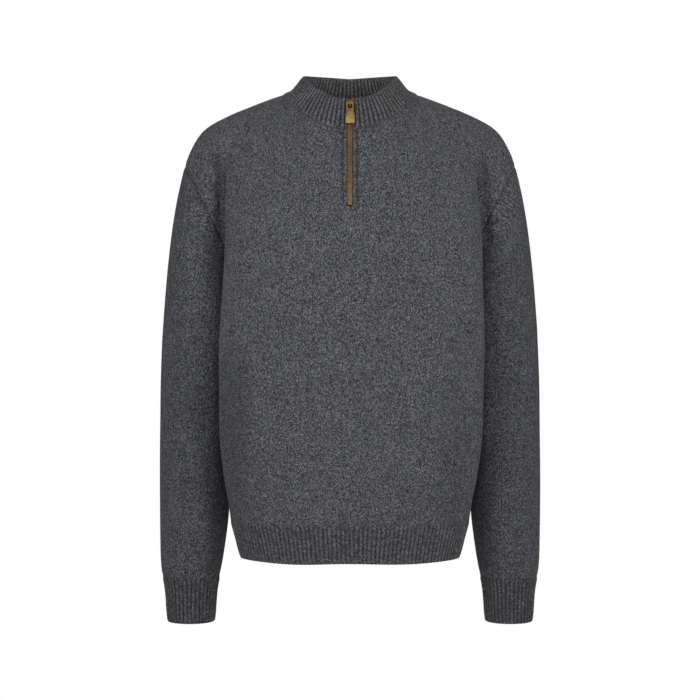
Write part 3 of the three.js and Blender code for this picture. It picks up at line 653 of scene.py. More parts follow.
# Sleeves: one flat-knitted panel each, closed by a seam along the underarm and linked into the
# dropped armhole. They hang a little bent, with soft creases inside the elbow.
# outer edge x and z, inner edge x and z, how far back the two edges lie, half the depth
SLEEVE = np.array(
    [
        [0.2717, -0.691, 0.1920, -0.691, 0.022, 0.022, 0.0425],
        [0.2740, -0.679, 0.1894, -0.679, 0.023, 0.023, 0.0445],
        [0.2753, -0.660, 0.1860, -0.660, 0.024, 0.024, 0.0470],
        [0.2760, -0.632, 0.1820, -0.632, 0.026, 0.026, 0.0500],
        [0.2766, -0.600, 0.1785, -0.600, 0.028, 0.028, 0.0520],
        [0.2771, -0.555, 0.1765, -0.557, 0.030, 0.030, 0.0535],
        [0.2770, -0.510, 0.1750, -0.516, 0.031, 0.031, 0.0550],
        [0.2765, -0.462, 0.1730, -0.475, 0.031, 0.031, 0.0560],
        [0.2757, -0.412, 0.1705, -0.436, 0.030, 0.030, 0.0575],
        [0.2736, -0.360, 0.1690, -0.396, 0.028, 0.028, 0.0590],
        [0.2703, -0.307, 0.1685, -0.358, 0.025, 0.025, 0.0600],
        [0.2656, -0.254, 0.1685, -0.323, 0.021, 0.022, 0.0610],
        [0.2594, -0.201, 0.1700, -0.291, 0.017, 0.020, 0.0620],
        [0.2535, -0.163, 0.1715, -0.268, 0.014, 0.018, 0.0625],
        [0.2475, -0.133, 0.1720, -0.249, 0.011, 0.016, 0.0630],
    ]
)
SLEEVE_STEPS = 6


def sleeve_grid(side):
    count = STEPS_A_ROW * CHEST_ROWS
    up = np.arange(count) / count
    share = np.concatenate([up, 1 - up])
    face = np.repeat([1, -1], count)
    if side > 0:
        share, face = share[::-1], face[::-1]
    angle = np.pi * share
    high = (1 - np.cos(angle)) / 2
    rings = []
    for out_x, out_z, in_x, in_z, out_y, in_y, deep in SLEEVE:
        y = lerp(in_y, out_y, high) + face * deep * np.sin(angle)
        rings.append(np.stack([side * lerp(in_x, out_x, high), y, lerp(in_z, out_z, high)], -1))
    behind = (face > 0)[:, None]
    rings.append(np.where(behind, armhole_at(side, share, 1), armhole_at(side, share, -1)))
    rings = np.array(rings)
    last = len(SLEEVE)
    # finer steps beside the cuff and the armhole
    steps = np.union1d(
        np.arange(SLEEVE_STEPS * last + 1) / SLEEVE_STEPS, [0.12, 0.3, last - 0.08, last - 0.04]
    )
    k = np.clip(np.floor(steps).astype(int), 0, last - 1)
    before, after = rings[np.maximum(k - 1, 0)], rings[np.minimum(k + 2, last)]
    a, b = rings[k], rings[k + 1]
    return folded(bend(a, b, (b - before) / 2, (after - a) / 2, (steps - k)[:, None, None]))


sleeves = {"right": sleeve_grid(-1), "left": sleeve_grid(1)}
sheets = {
    "front_panel": (front_grid, False, slit_cells),
    "back_panel": (back_grid, False, None),
    "sleeve_right": (sleeves["right"], True, None),
    "sleeve_left": (sleeves["left"], True, None),
}
# Where pieces are linked they face the same way: each group has its own mean direction at a point,
# and at the armhole the seam faces halfway between body and sleeve.
SPOTS_A_METRE = 20000
facing = {}
spots = np.concatenate([grid.reshape(-1, 3) for grid, _, _ in sheets.values()])
_, spot_of = np.unique(np.round(spots * SPOTS_A_METRE), axis=0, return_inverse=True)
spot_of = spot_of.ravel()
total = np.zeros((spot_of.max() + 1, 3))
for group in (("front_panel", "back_panel"), ("sleeve_right", "sleeve_left")):
    own = np.zeros_like(total)
    start = 0
    for name, (grid, closed, missing) in sheets.items():
        count = grid.shape[0] * grid.shape[1]
        if name in group:
            outward = areas(grid, closed, missing).reshape(-1, 3)
            np.add.at(own, spot_of[start : start + count], outward)
        start += count
    total += unit(own)
start = 0
for name, (grid, _, _) in sheets.items():
    count = grid.shape[0] * grid.shape[1]
    facing[name] = unit(total)[spot_of[start : start + count]].reshape(grid.shape)
    start += count


def edge_distance(grid, closed):
    """Distance from each point to the seams beside and above it, along its own row and column."""
    across = lengths_down(np.swapaxes(closed_up(grid) if closed else grid, 0, 1)).T
    left = across[:, :-1] if closed else across
    up = lengths_down(grid)
    return np.minimum(np.minimum(left, across[:, -1:] - left), up[-1:] - up)


# a seam darkens the wool beside it, partly packed wool and partly painted shade of its groove; the
# slit's turned edge has a stitched line, with painted shade of its groove along it
SEAM_LINE = 0.0013
PLACKET_AT = 0.0100
PLACKET_DIP = 0.0011
PLACKET_SHADE = 0.95
SLIT_FOOT = -0.165
SLIT_FADE = 0.006
SLIT_EDGE_DIP = 0.0009
body_wool = wool("melange jersey, body", (0.079, 0.081, 0.0875))
# the sleeves' wool is the body's wool painted darker, painted shade of the lower sleeves; painted
# light on the sleeve tops brings those back to the body's tone
shaded_sleeve_wool = wool("melange jersey, sleeves", (0.065, 0.067, 0.073))
PANEL_NAMES = {"front_panel": "front_body", "back_panel": "back_body"}
for name, (grid, closed, missing) in sheets.items():
    to_seam = edge_distance(grid, closed)
    out = WALL / 2 - seam_dip(to_seam)
    # painted shade at the seams, plus the painted shade and light of the creases, sides and sleeve
    # tops
    dark = np.exp(-((to_seam / SEAM_LINE) ** 2)) + painted_shade_and_light(grid)
    if name == "front_panel":
        zip_part = ease(grid[..., 2], SLIT_FOOT, SLIT_FOOT + SLIT_FADE)
        line = zip_part * np.exp(-(((np.abs(grid[..., 0]) - PLACKET_AT) / SEAM_LINE) ** 2))
        out -= PLACKET_DIP * line
        dark += PLACKET_SHADE * line
        out[slit_from:, slit_column : slit_column + 2] -= SLIT_EDGE_DIP
    material = body_wool if "panel" in name else shaded_sleeve_wool
    piece = knit_panel(name, grid, facing[name], out, dark, closed, material, missing)
    piece.name = PANEL_NAMES.get(name, name + "_knit")
    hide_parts(name)
    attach(piece, "sweater")

# Hem band and cuffs: 1x1 rib in the same wool, knitted on to the body and sleeves and drawn in
# below them, so that the plain knit runs into the ribs without a ridge.
RIB_WALL = 0.0034
RIB_PITCH = 0.0062
RIB_COURSE = 0.0016
COLUMNS_A_RIB = 8
ROLL_STEPS = 7
# the ribs rise over this much of the band below the seam, and fade to a low share at its free edge
RIB_START = 0.008
RIB_END = 0.005
EDGE_RISE = 0.25
# beside the zip the wall is this thin at its end, and full after this much
END_SLIM = 0.35
END_ROUND = 0.0016
# depth of the rows beside the seam, of the first plain row, and height of the last two rows over
# the free edge
SEAM_ROWS = (0, 0.0015, 0.003, 0.006)
FIRST_ROW = 0.011
EDGE_ROWS = (0.004, 0.0017)
# height, width and depth against the seam
HEM_BAND = np.array([[-0.661, 0.914, 0.900], [-0.632, 0.956, 0.955], [-0.605, 1.0, 1.0]])
CUFF_BAND = np.array([[-0.758, 0.815, 0.830], [-0.710, 0.900, 0.910], [-0.691, 1.0, 1.0]])
# the hem's edge hangs a little lower between the middle and the side seams
HEM_SAG = 0.0020
SAG_REACH = 0.172


def evenly(ring, count):
    """That many points evenly along a closed ring."""
    ring = np.concatenate([ring, ring[:1]])
    length = lengths_down(ring)
    at = np.arange(count) / count * length[-1]
    return np.stack([np.interp(at, length, ring[:, k]) for k in range(3)], -1)


def band_rows(seam, table, middle, sag):
    """Rows from the seam down to the free edge, close together beside both."""
    deep = table[-1, 0] - table[0, 0]
    plain = np.linspace(FIRST_ROW, deep - EDGE_ROWS[0], 6)
    hang = np.sin(np.pi * np.clip(np.abs(seam[:, 0]) / SAG_REACH, 0, 1)) ** 2
    rows = []
    for fall in [*SEAM_ROWS, *plain, deep - EDGE_ROWS[1]]:
        z = table[-1, 0] - fall
        share = [read(table, z, 1), read(table, z, 2)]
        flat = middle + (seam[:, :2] - middle) * share
        rows.append(np.column_stack([flat, z - sag * fall / deep * hang]))
    return np.array(rows)


def quads(count, last, columns):
    """Row, column and corners of each cell of a sheet whose last row runs on to its first."""
    r, c = np.meshgrid(np.arange(count), np.arange(last), indexing="ij")
    up, on = (r + 1) % count, (c + 1) % columns
    corners = [r * columns + c, r * columns + on, up * columns + on, up * columns + c]
    return r, c, np.stack(corners, -1).reshape(-1, 4)


def rib_band(name, rows, wales, closed, material, tree_inputs, dip):
    """A closed ribbed wall round rows of points that run from the seam to the free edge."""
    half = RIB_WALL / 2
    rising = rows[-1, :, 2].mean() > rows[0, :, 2].mean()
    normals = unit(areas(rows, closed) if rising else areas(rows[::-1], closed)[::-1])
    away = np.linalg.norm(rows - rows[0], axis=-1)
    # the wall thins to a round end beside the zip
    slim = np.ones(rows.shape[1])
    if not closed:
        along = lengths_down(rows[0])
        ends = np.minimum(along, along[-1] - along)
        thick = np.sqrt(1 - (1 - np.clip(ends / END_ROUND, 0, 1)) ** 2)
        slim = END_SLIM + (1 - END_SLIM) * thick
    slim = slim[:, None]
    # the free edge is rolled over in half a round, from the outer face to the inner
    end = unit(rows[-1] - rows[-2])
    rolled = np.linspace(0, np.pi, ROLL_STEPS)[1:-1]
    crown = [rows[-1] + half * slim * (normals[-1] * np.cos(a) + end * np.sin(a)) for a in rolled]
    outer = rows + normals * (half - seam_dip(away[..., None], dip)) * slim
    inner = rows - normals * half * slim
    loop = np.concatenate([outer, crown, inner[::-1]])
    count, columns = loop.shape[:2]
    # a rib outside is a trough inside: half a turn between the two faces
    ply = np.concatenate([np.zeros(len(rows)), rolled / np.pi / 2, np.full(len(rows), 0.5)])
    to_edge = np.linalg.norm(rows - rows[-1], axis=-1)
    fade = EDGE_RISE + (1 - EDGE_RISE) * ease(to_edge, 0, RIB_END)
    fade = ease(away, 0, RIB_START) * fade
    rise = np.concatenate([fade, np.full((len(rolled), columns), EDGE_RISE), fade[::-1]])
    rise *= slim[:, 0] ** 2

    points = loop.reshape(-1, 3)
    r, c, faces = quads(count, columns if closed else columns - 1, columns)
    down = lengths_down(loop[:, 0])
    down = np.append(down, down[-1] + RIB_WALL)
    over = np.append(wales, wales[-1] * 2 - wales[-2]) * RIB_PITCH
    spots = [(over[c], down[r]), (over[c + 1], down[r])]
    spots += [(over[c + 1], down[r + 1]), (over[c], down[r + 1])]
    uv = np.moveaxis(np.array(spots), (0, 1), (2, 3)).reshape(-1, 4, 2)
    # faces are turned outward, which a closed shell's volume tells
    a, b, d, e = np.moveaxis(points[faces], 1, 0)
    inside_out = (a * (np.cross(b, d) + np.cross(d, e))).sum() < 0
    if inside_out:
        faces, uv = faces[:, ::-1], uv[:, ::-1]
    faces, uv = faces.tolist(), uv.reshape(-1, 2)
    if not closed:
        first = [k * columns for k in range(count)]
        final = [k * columns + columns - 1 for k in range(count)]
        faces += [first[::-1], final] if inside_out else [first, final[::-1]]
        edge = np.stack([np.zeros(count), down[:-1]], -1)
        uv = np.concatenate([uv, edge, edge + [over[-2], 0]])
    obj = mesh_object(name, points, faces, material, uv, sharp=180)
    note(obj, "wale", np.tile(wales, count))
    note(obj, "ply", np.repeat(ply, columns))
    note(obj, "rise", rise)
    ribs = obj.modifiers.new("ribs", "NODES")
    ribs.node_group = rib_tree
    for key, value in {**tree_inputs, "Material": material}.items():
        ribs[rib_sockets[key]] = value
    as_plain_mesh(obj)
    return obj


def as_plain_mesh(obj):
    """What the object's modifiers make becomes its own mesh."""
    made = obj.evaluated_get(bpy.context.evaluated_depsgraph_get())
    old, obj.data = obj.data, bpy.data.meshes.new_from_object(made)
    obj.modifiers.clear()
    bpy.data.meshes.remove(old)


def tree_with(name, sockets):
    """A new geometry tree with named inputs, and its own group input and output nodes."""
    tree = bpy.data.node_groups.new(name, "GeometryNodeTree")
    tree.interface.new_socket("Geometry", in_out="INPUT", socket_type="NodeSocketGeometry")
    names = {}
    for key, kind in sockets.items():
        names[key] = tree.interface.new_socket(key, in_out="INPUT", socket_type=kind).identifier
    tree.interface.new_socket("Geometry", in_out="OUTPUT", socket_type="NodeSocketGeometry")
    given = tree.nodes.new("NodeGroupInput")
    result = tree.nodes.new("NodeGroupOutput")
    return tree, names, given.outputs, result.inputs[0]


def finish_tree(tree, geometry, material, result):
    real = node(tree, "GeometryNodeRealizeInstances", {"Geometry": geometry}).outputs[0]
    paint = node(tree, "GeometryNodeSetMaterial", {"Geometry": real, "Material": material})
    tree.links.new(paint.outputs[0], result)


def attribute(tree, name):
    made = node(tree, "GeometryNodeInputNamedAttribute", Name=name)
    made.data_type = "FLOAT"
    return made.outputs["Attribute"]


rib_tree, rib_sockets, given, result = tree_with(
    "raised ribs",
    {"Height": "NodeSocketFloat", "Sharpness": "NodeSocketFloat", "Material": "NodeSocketMaterial"},
)
turn = maths(rib_tree, "ADD", attribute(rib_tree, "wale"), attribute(rib_tree, "ply"))
wave = maths(rib_tree, "COSINE", maths(rib_tree, "MULTIPLY", turn, 2 * np.pi))
crest = maths(rib_tree, "MULTIPLY_ADD", wave, 0.5, 0.5)
crest = maths(rib_tree, "POWER", crest, given["Sharpness"])
high = maths(rib_tree, "MULTIPLY", crest, given["Height"])
high = maths(rib_tree, "MULTIPLY", high, attribute(rib_tree, "rise"))
shift = node(
    rib_tree,
    "ShaderNodeVectorMath",
    {0: rib_tree.nodes.new("GeometryNodeInputNormal").outputs[0], "Scale": high},
    "SCALE",
)
raised = node(
    rib_tree,
    "GeometryNodeSetPosition",
    {"Geometry": given["Geometry"], "Offset": shift.outputs[0]},
)
finish_tree(rib_tree, raised.outputs[0], given["Material"], result)


def rib_wool(name, shade, painted_trough_shade, spread):
    return wool(name, shade, RIB_PITCH / 2, RIB_COURSE, RIB_PITCH, painted_trough_shade, spread)


hem_wool = rib_wool("melange rib, hem", (0.070, 0.070, 0.075), 0.75, 0.95)
cuff_wool = rib_wool("melange rib, cuffs", (0.056, 0.056, 0.060), 0.85, 0.95)
hem_seam = np.concatenate([front_grid[0], back_grid[0, 1:-1]])
HEM_RIBS = 146
CUFF_RIBS = 40
# the middle of the wrist, seen from above
ARM_AT = np.array([0.2325, 0.022])
# CAD node, seam, ribs, table, middle, sag and wool of each band
bands = {"hem": ("hem_rib", hem_seam, HEM_RIBS, HEM_BAND, (0, 0), HEM_SAG, hem_wool)}
for hand, side in (("right", -1), ("left", 1)):
    middle = ARM_AT * [side, 1]
    wrist = sleeves[hand][0]
    bands[f"cuff_{hand}_rib"] = (f"cuff_{hand}", wrist, CUFF_RIBS, CUFF_BAND, middle, 0, cuff_wool)
rib_inputs = {"Height": 0.0013, "Sharpness": 0.75}
for name, (cad, seam, ribs, table, middle, sag, material) in bands.items():
    rows = band_rows(evenly(seam, ribs * COLUMNS_A_RIB), table, middle, sag)
    wales = np.arange(ribs * COLUMNS_A_RIB) / COLUMNS_A_RIB
    piece = rib_band(name, rows, wales, True, material, rib_inputs, (RIB_WALL - WALL) / 2)
    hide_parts(cad)
    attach(piece, "sweater")

# Collar: a stand collar of the same 1x1 rib, a single ply linked round the neck from one edge of
# the zip to the other. It rolls inward to a soft rim, and its ribs show inside too.
RIM = dict(half=0.0660, front=0.070, back=0.061, side=0, dip_front=0, dip_back=0, square=2.2)
COLLAR_BULGE = 0.002
# angle from the front middle, height of the rim
RIM_HEIGHT = np.array(
    [
        [-15, -0.0052],
        [0, -0.0065],
        [15, -0.0052],
        [22, -0.0034],
        [30, 0.0008],
        [40, 0.0074],
        [53, 0.0166],
        [70, 0.0272],
        [90, 0.0337],
        [105, 0.0368],
        [125, 0.0391],
        [145, 0.0402],
        [162, 0.0400],
        [180, 0.0390],
        [198, 0.0400],
    ]
)
# share of the way up the band, and how far in and how far up it has come by then, at the side of
# the neck
FLARE = np.array(
    [
        [0, 0, 0],
        [0.2, 0.25, 0.11],
        [0.38, 0.46, 0.22],
        [0.6, 0.66, 0.47],
        [0.8, 0.83, 0.73],
        [1, 1, 1],
    ]
)
# the back stands up first and leans in above: how much of that, and between which angles it comes
LEAN_BEHIND = 0.8
BEHIND_FROM = (95, 135)
COLLAR_RIBS = 84
COLUMNS_A_COLLAR_RIB = 9
COLLAR_DIP = 0.0009
collar_wool = rib_wool("melange rib, collar", (0.080, 0.078, 0.083), 1.20, 0.85)
neck_start = slit_angle(NECK["half"])
rim_start = slit_angle(RIM["half"])


def collar_at(turn, up):
    """Points of the collar: turn runs from the left zip edge round the back to the right one."""
    side = np.where(turn <= 180, 1, -1)
    degrees = np.where(turn <= 180, turn, 360 - turn)
    turned = (degrees - neck_start) / (90 - neck_start)
    degrees_high = np.where(degrees < 90, lerp(rim_start, 90, turned), degrees)
    high = neck_at(RIM, side, degrees_high)
    high[:, 2] = read(RIM_HEIGHT, degrees_high, 1)
    low = folded(neck_at(NECK, side, degrees))
    bent = np.sin(np.radians(degrees)) ** 4
    behind = LEAN_BEHIND * ease(degrees, *BEHIND_FROM)
    inward = lerp(up, read(FLARE, up, 1), bent)
    inward = lerp(inward, 1 - (1 - up) ** 2, behind)
    rise = lerp(up, read(FLARE, up, 2), bent)
    p = lerp(low, high, np.stack([inward, inward, rise], -1))
    bulge = COLLAR_BULGE * (1 - bent) * np.sin(np.pi * up)
    return p + unit(p * [1, 1, 0]) * bulge[:, None]


turns = np.linspace(neck_start, 360 - neck_start, 4000)
length = lengths_down(collar_at(turns, 0.5))
wales = np.arange(COLLAR_RIBS * COLUMNS_A_COLLAR_RIB + 1) / COLUMNS_A_COLLAR_RIB
turns = np.interp(wales / COLLAR_RIBS * length[-1], length, turns)
ups = [0, 0.025, 0.05, 0.1, *np.linspace(0.16, 0.90, 10), 0.93, 0.96]
collar_rows = np.array([collar_at(turns, up) for up in ups])
collar_inputs = {"Height": 0.0011, "Sharpness": 0.75}
piece = rib_band("collar_rib", collar_rows, wales, False, collar_wool, collar_inputs, COLLAR_DIP)
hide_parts("collar")
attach(piece, "sweater")

# Zip tapes: two woven polyester tapes, sewn behind the turned edges of the slit. Each has a corded
# edge that the teeth are clamped on.
NEAR, MIDDLE, FAR = 0.0016, 0.0083, 0.0150
BACK, CENTRE, FRONT = -0.0033, -0.0028, -0.0023
CORD = 0.0009
TWILL = 0.0009
HERRINGBONE = 0.003
# the run of the zip is felt over this much of it, each way
FEEL = 0.004
# section from the corded inner edge outward on the front and back again behind
TAPE_SECTION = [
    (NEAR, CENTRE),
    (NEAR + 0.0003, FRONT + CORD * 0.4),
    (NEAR + 0.0012, FRONT + CORD * 0.6),
    (NEAR + 0.0022, FRONT),
    (MIDDLE, FRONT),
    (FAR - 0.0003, FRONT),
    (FAR, CENTRE),
    (FAR - 0.0003, BACK),
    (MIDDLE, BACK),
    (NEAR + 0.0003, BACK),
]
rim_down = np.array([collar_at(np.array([neck_start]), up)[0] for up in np.linspace(1, 0.02, 24)])
slit_down = front_grid[slit_from:, slit_column + 1][::-1]
zip_line = np.concatenate([rim_down, slit_down])
zip_line[:, 0] = 0
zip_length = lengths_down(zip_line)


def zip_at(distance):
    """Points down the middle of the zip, with the run down it and the outward direction."""

    def spot(d):
        return np.stack([np.interp(d, zip_length, zip_line[:, k]) for k in range(3)], -1)

    low = np.clip(distance + FEEL, 0, zip_length[-1])
    high = np.clip(distance - FEEL, 0, zip_length[-1])
    run = unit(spot(low) - spot(high))
    out = np.stack([np.zeros_like(distance), run[..., 2], -run[..., 1]], -1)
    return spot(distance), run, out


tape_cloth, tree, shader = new_material("woven zip tape")
_, over, up = knit_place(tree)
thing = tree.nodes.new("ShaderNodeTexCoord").outputs["Object"]
dust = node(tree, "ShaderNodeTexNoise", {"Vector": thing}, Scale=420.0, Detail=3.0).outputs["Fac"]
slanted = maths(tree, "ADD", maths(tree, "PINGPONG", over, HERRINGBONE), up)
twill = maths(tree, "SINE", maths(tree, "MULTIPLY", slanted, 2 * np.pi / TWILL))
rib = maths(tree, "MULTIPLY_ADD", twill, 0.5, 0.5)
level = maths(tree, "MULTIPLY_ADD", dust, 0.5, maths(tree, "MULTIPLY_ADD", rib, 0.4, 0.5))
tint = node(tree, "ShaderNodeVectorMath", {"Scale": level}, "SCALE")
tint.inputs[0].default_value = (0.050, 0.049, 0.052)
finish(tree, shader, tint.outputs[0], rib, strength=0.5, deep=0.0002, Roughness=0.85)

tape_steps = np.linspace(0.002, zip_length[-1], 70)
at, run, out = zip_at(tape_steps)
for hand, side in (("right", -1), ("left", 1)):
    section = TAPE_SECTION[::side]
    loop = np.array([at + out * depth + [side * x, 0, 0] for x, depth in section])
    count, steps = loop.shape[:2]
    _, _, faces = quads(count, steps - 1, steps)
    faces = faces[:, [0, 3, 2, 1]].tolist()
    faces.append([k * steps for k in range(count)][::-1])
    faces.append([k * steps + steps - 1 for k in range(count)])
    spots = np.stack(np.broadcast_arrays(loop[..., 0], tape_steps), -1).reshape(-1, 2)
    uv = np.concatenate([spots[face] for face in faces])
    piece = mesh_object(f"tape_{hand}", loop.reshape(-1, 3), faces, tape_cloth, uv)
    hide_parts(f"zip_tape_{hand}")
    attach(piece, "sweater")

# Zip chain: antiqued brass teeth clamped on the tapes' corded edges, left and right in turn, with
# a brass bottom stop that joins the two tapes. Each tooth has a shank and a rounded head.
TOOTH_PITCH = 0.00125
CHAIN_FROM = 0.0118
CHAIN_SHORT = 0.0055
STOP_SHORT = 0.0033
# size and middle of the shank and of the head of a tooth
TOOTH_PARTS = [
    ((0.0030, 0.00095, 0.0027), (-0.0018, 0, 0)),
    ((0.0014, 0.00125, 0.0021), (0.0001, 0, 0)),
]


# how dark the painted shade in a hollow is, and how steeply it darkens at its edge, in 1/m
RECESS_PAINTED_SHADE = 0.88
PAINTED_SHADE_EDGE = 2500.0


def metal(name, colour, worn, rough, recess=None):
    """Brushed metal, paler and darker in patches, with painted shade in a hollow if one is given.
    """
    material, tree, shader = new_material(name)
    thing = tree.nodes.new("ShaderNodeTexCoord").outputs["Object"]
    brushed = node(tree, "ShaderNodeVectorMath", {0: thing}, "MULTIPLY")
    brushed.inputs[1].default_value = (4200, 500, 500)
    grain = node(
        tree, "ShaderNodeTexNoise", {"Vector": brushed.outputs[0]}, Scale=1.0, Detail=3.0
    ).outputs["Fac"]
    patch = node(tree, "ShaderNodeTexNoise", {"Vector": thing}, Scale=260.0, Detail=2.0)
    ramp = node(tree, "ShaderNodeValToRGB", {0: patch.outputs["Fac"]})
    for stop, spot, tone in zip(ramp.color_ramp.elements, (0.35, 0.65), (worn, colour)):
        stop.position = spot
        stop.color = (*tone, 1)
    shown = ramp.outputs[0]
    if recess:
        # painted shade in a hollow: its middle, half size, and the directions along and out of it
        middle, half, up, out = recess
        from_middle = node(tree, "ShaderNodeVectorMath", {0: thing}, "SUBTRACT")
        from_middle.inputs[1].default_value = middle
        inside = 1.0
        for direction, reach_there in zip(((1, 0, 0), up, out), half):
            along = node(tree, "ShaderNodeVectorMath", {0: from_middle.outputs[0]}, "DOT_PRODUCT")
            along.inputs[1].default_value = direction
            far = maths(tree, "ABSOLUTE", along.outputs["Value"])
            depth = maths(tree, "SUBTRACT", reach_there, far)
            depth = maths(tree, "MULTIPLY", depth, PAINTED_SHADE_EDGE)
            depth = maths(tree, "MINIMUM", maths(tree, "MAXIMUM", depth, 0.0), 1.0)
            inside = maths(tree, "MULTIPLY", inside, depth)
        darker = maths(tree, "MULTIPLY_ADD", inside, -RECESS_PAINTED_SHADE, 1.0)
        shown = node(tree, "ShaderNodeVectorMath", {0: shown, "Scale": darker}, "SCALE").outputs[0]
    roughness = maths(tree, "MULTIPLY_ADD", grain, 0.2, rough)
    tree.links.new(roughness, shader.inputs["Roughness"])
    finish(tree, shader, shown, grain, strength=0.15, deep=0.0001, Metallic=1.0)
    return material


brass = metal("antiqued brass", (0.31, 0.19, 0.098), (0.20, 0.125, 0.072), 0.38)
gold = metal("pale gold plating", (0.80, 0.55, 0.24), (0.58, 0.37, 0.15), 0.22)
dull_gold = metal(
    "gold plating, dull in the recess", (0.36, 0.23, 0.095), (0.24, 0.15, 0.065), 0.36
)

at, run, _ = zip_at(np.linspace(CHAIN_FROM, zip_length[-1] - CHAIN_SHORT, 90))
chain = bpy.data.meshes.new("zip_chain")
chain.from_pydata(at.tolist(), [(k, k + 1) for k in range(len(at) - 1)], [])
teeth = new_object("teeth", chain)
note(teeth, "lean", -np.arctan2(-run[:, 1], -run[:, 2]))
tooth_tree, tooth_sockets, given, result = tree_with(
    "zip chain", {"Pitch": "NodeSocketFloat", "Material": "NodeSocketMaterial"}
)


def tooth_part(size, centre):
    block = node(tooth_tree, "GeometryNodeMeshCube", Size=size)
    soft = node(
        tooth_tree,
        "GeometryNodeSubdivisionSurface",
        {"Mesh": block.outputs[0]},
        Level=2,
        Edge_Crease=0.55,
    ).outputs[0]
    return node(tooth_tree, "GeometryNodeTransform", {"Geometry": soft}, Translation=centre)


one = tooth_tree.nodes.new("GeometryNodeJoinGeometry")
for size, centre in TOOTH_PARTS:
    tooth_tree.links.new(tooth_part(size, centre).outputs[0], one.inputs[0])
other = node(
    tooth_tree, "GeometryNodeTransform", {"Geometry": one.outputs[0]}, Rotation=(0, 0, np.pi)
)
curve = node(tooth_tree, "GeometryNodeMeshToCurve", {"Mesh": given["Geometry"]})
even = tooth_tree.nodes.new("GeometryNodeResampleCurve")
even.mode = "LENGTH"
tooth_tree.links.new(curve.outputs[0], even.inputs["Curve"])
tooth_tree.links.new(given["Pitch"], even.inputs["Length"])
points = node(tooth_tree, "GeometryNodeCurveToPoints", {"Curve": even.outputs[0]})
points.mode = "EVALUATED"
odd = maths(tooth_tree, "MODULO", tooth_tree.nodes.new("GeometryNodeInputIndex").outputs[0], 2.0)
turned = tooth_tree.nodes.new("ShaderNodeCombineXYZ")
tooth_tree.links.new(attribute(tooth_tree, "lean"), turned.inputs[0])
both = tooth_tree.nodes.new("GeometryNodeJoinGeometry")
for tooth, chosen in ((one, odd), (other, maths(tooth_tree, "SUBTRACT", 1.0, odd))):
    placed = node(
        tooth_tree,
        "GeometryNodeInstanceOnPoints",
        {
            "Points": points.outputs[0],
            "Selection": chosen,
            "Instance": tooth.outputs[0],
            "Rotation": turned.outputs[0],
        },
    )
    tooth_tree.links.new(placed.outputs[0], both.inputs[0])
finish_tree(tooth_tree, both.outputs[0], given["Material"], result)
rows = teeth.modifiers.new("teeth", "NODES")
rows.node_group = tooth_tree
rows[tooth_sockets["Pitch"]] = TOOTH_PITCH
rows[tooth_sockets["Material"]] = brass
as_plain_mesh(teeth)
teeth.data.polygons.foreach_set("use_smooth", [True] * len(teeth.data.polygons))
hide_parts("zip_teeth")
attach(teeth, "sweater")


def add_part(bm, part):
    mesh = bpy.data.meshes.new("part")
    part.to_mesh(mesh)
    part.free()
    bm.from_mesh(mesh)
    bpy.data.meshes.remove(mesh)


def plate(bm, outline, low, high, bevel):
    """Adds an outline as a flat plate with rounded edges to a mesh."""
    fresh = bmesh.new()
    face = fresh.faces.new([fresh.verts.new((x, y, low)) for x, y in outline])
    grown = bmesh.ops.extrude_face_region(fresh, geom=[face])["geom"]
    lifted = [v for v in grown if isinstance(v, bmesh.types.BMVert)]
    bmesh.ops.translate(fresh, verts=lifted, vec=(0, 0, high - low))
    bmesh.ops.recalc_face_normals(fresh, faces=fresh.faces)
    bmesh.ops.bevel(
        fresh,
        geom=fresh.edges[:],
        offset=bevel,
        segments=3,
        profile=0.6,
        affect="EDGES",
        clamp_overlap=True,
    )
    add_part(bm, fresh)


def both_sides(right, first):
    """A whole outline from its right half, begun with that many points of the left."""
    left = [(-x, y) for x, y in right[::-1]]
    return left[-first:] + right + left[:-first]


def place_at(up, out, at):
    """The place of a piece on the zip: x across it, y up along it, z out of it."""
    place = np.eye(4)
    place[:3, :4] = np.stack([[1, 0, 0], up, out, at], -1)
    return Matrix(place.tolist())


def metal_piece(name, bm, place, material):
    bm.transform(place)
    mesh = bpy.data.meshes.new(name)
    bm.to_mesh(mesh)
    bm.free()
    smooth_mesh(mesh, material, 40)
    return new_object(name, mesh)


at, run, out = zip_at(np.array([zip_length[-1] - STOP_SHORT]))
bm = bmesh.new()
shape = both_sides([(0.0024, -0.0017), (0.0028, -0.0009), (0.0028, 0.0017)], 1)
plate(bm, shape, -0.0015, 0.0015, 0.0005)
piece = metal_piece("bottom_stop", bm, place_at(-run[0], out[0], at[0]), dull_gold)
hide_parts("zip_bottom_stop")
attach(piece, "sweater")

# Slider: a cast brass body plated pale gold, its front plate flared at the top and its flanges
# turned in over the chain, with a bail across the front that the pull hangs on.
SLIDER_AT = (0, -0.07752, -0.01825)
UP_ZIP = (0, 0.5416, 0.8407)
OUT_ZIP = (0, -0.8407, 0.5416)
slider_place = place_at(UP_ZIP, OUT_ZIP, SLIDER_AT)
bm = bmesh.new()
shape = both_sides(
    [
        (0.0034, 0.0080),
        (0.0050, 0.0064),
        (0.0050, 0.0022),
        (0.0043, -0.0010),
        (0.0043, -0.0066),
        (0.0031, -0.0080),
    ],
    2,
)
plate(bm, shape, 0.0035, 0.0050, 0.0005)
flange = [(0.0030, 0.0062), (0.0036, 0.0010), (0.0036, -0.0064), (0.0030, -0.0064)]
for side in (-1, 1):
    plate(bm, [(side * x, y) for x, y in flange], 0.0019, 0.0037, 0.0003)
plate(bm, [(x * 0.96, y * 0.86) for x, y in shape], -0.0054, -0.0039, 0.0004)
# the neck that joins the two plates
plate(bm, both_sides([(0.0011, 0.0034), (0.0011, 0.0068)], 1), -0.0040, 0.0036, 0.0003)
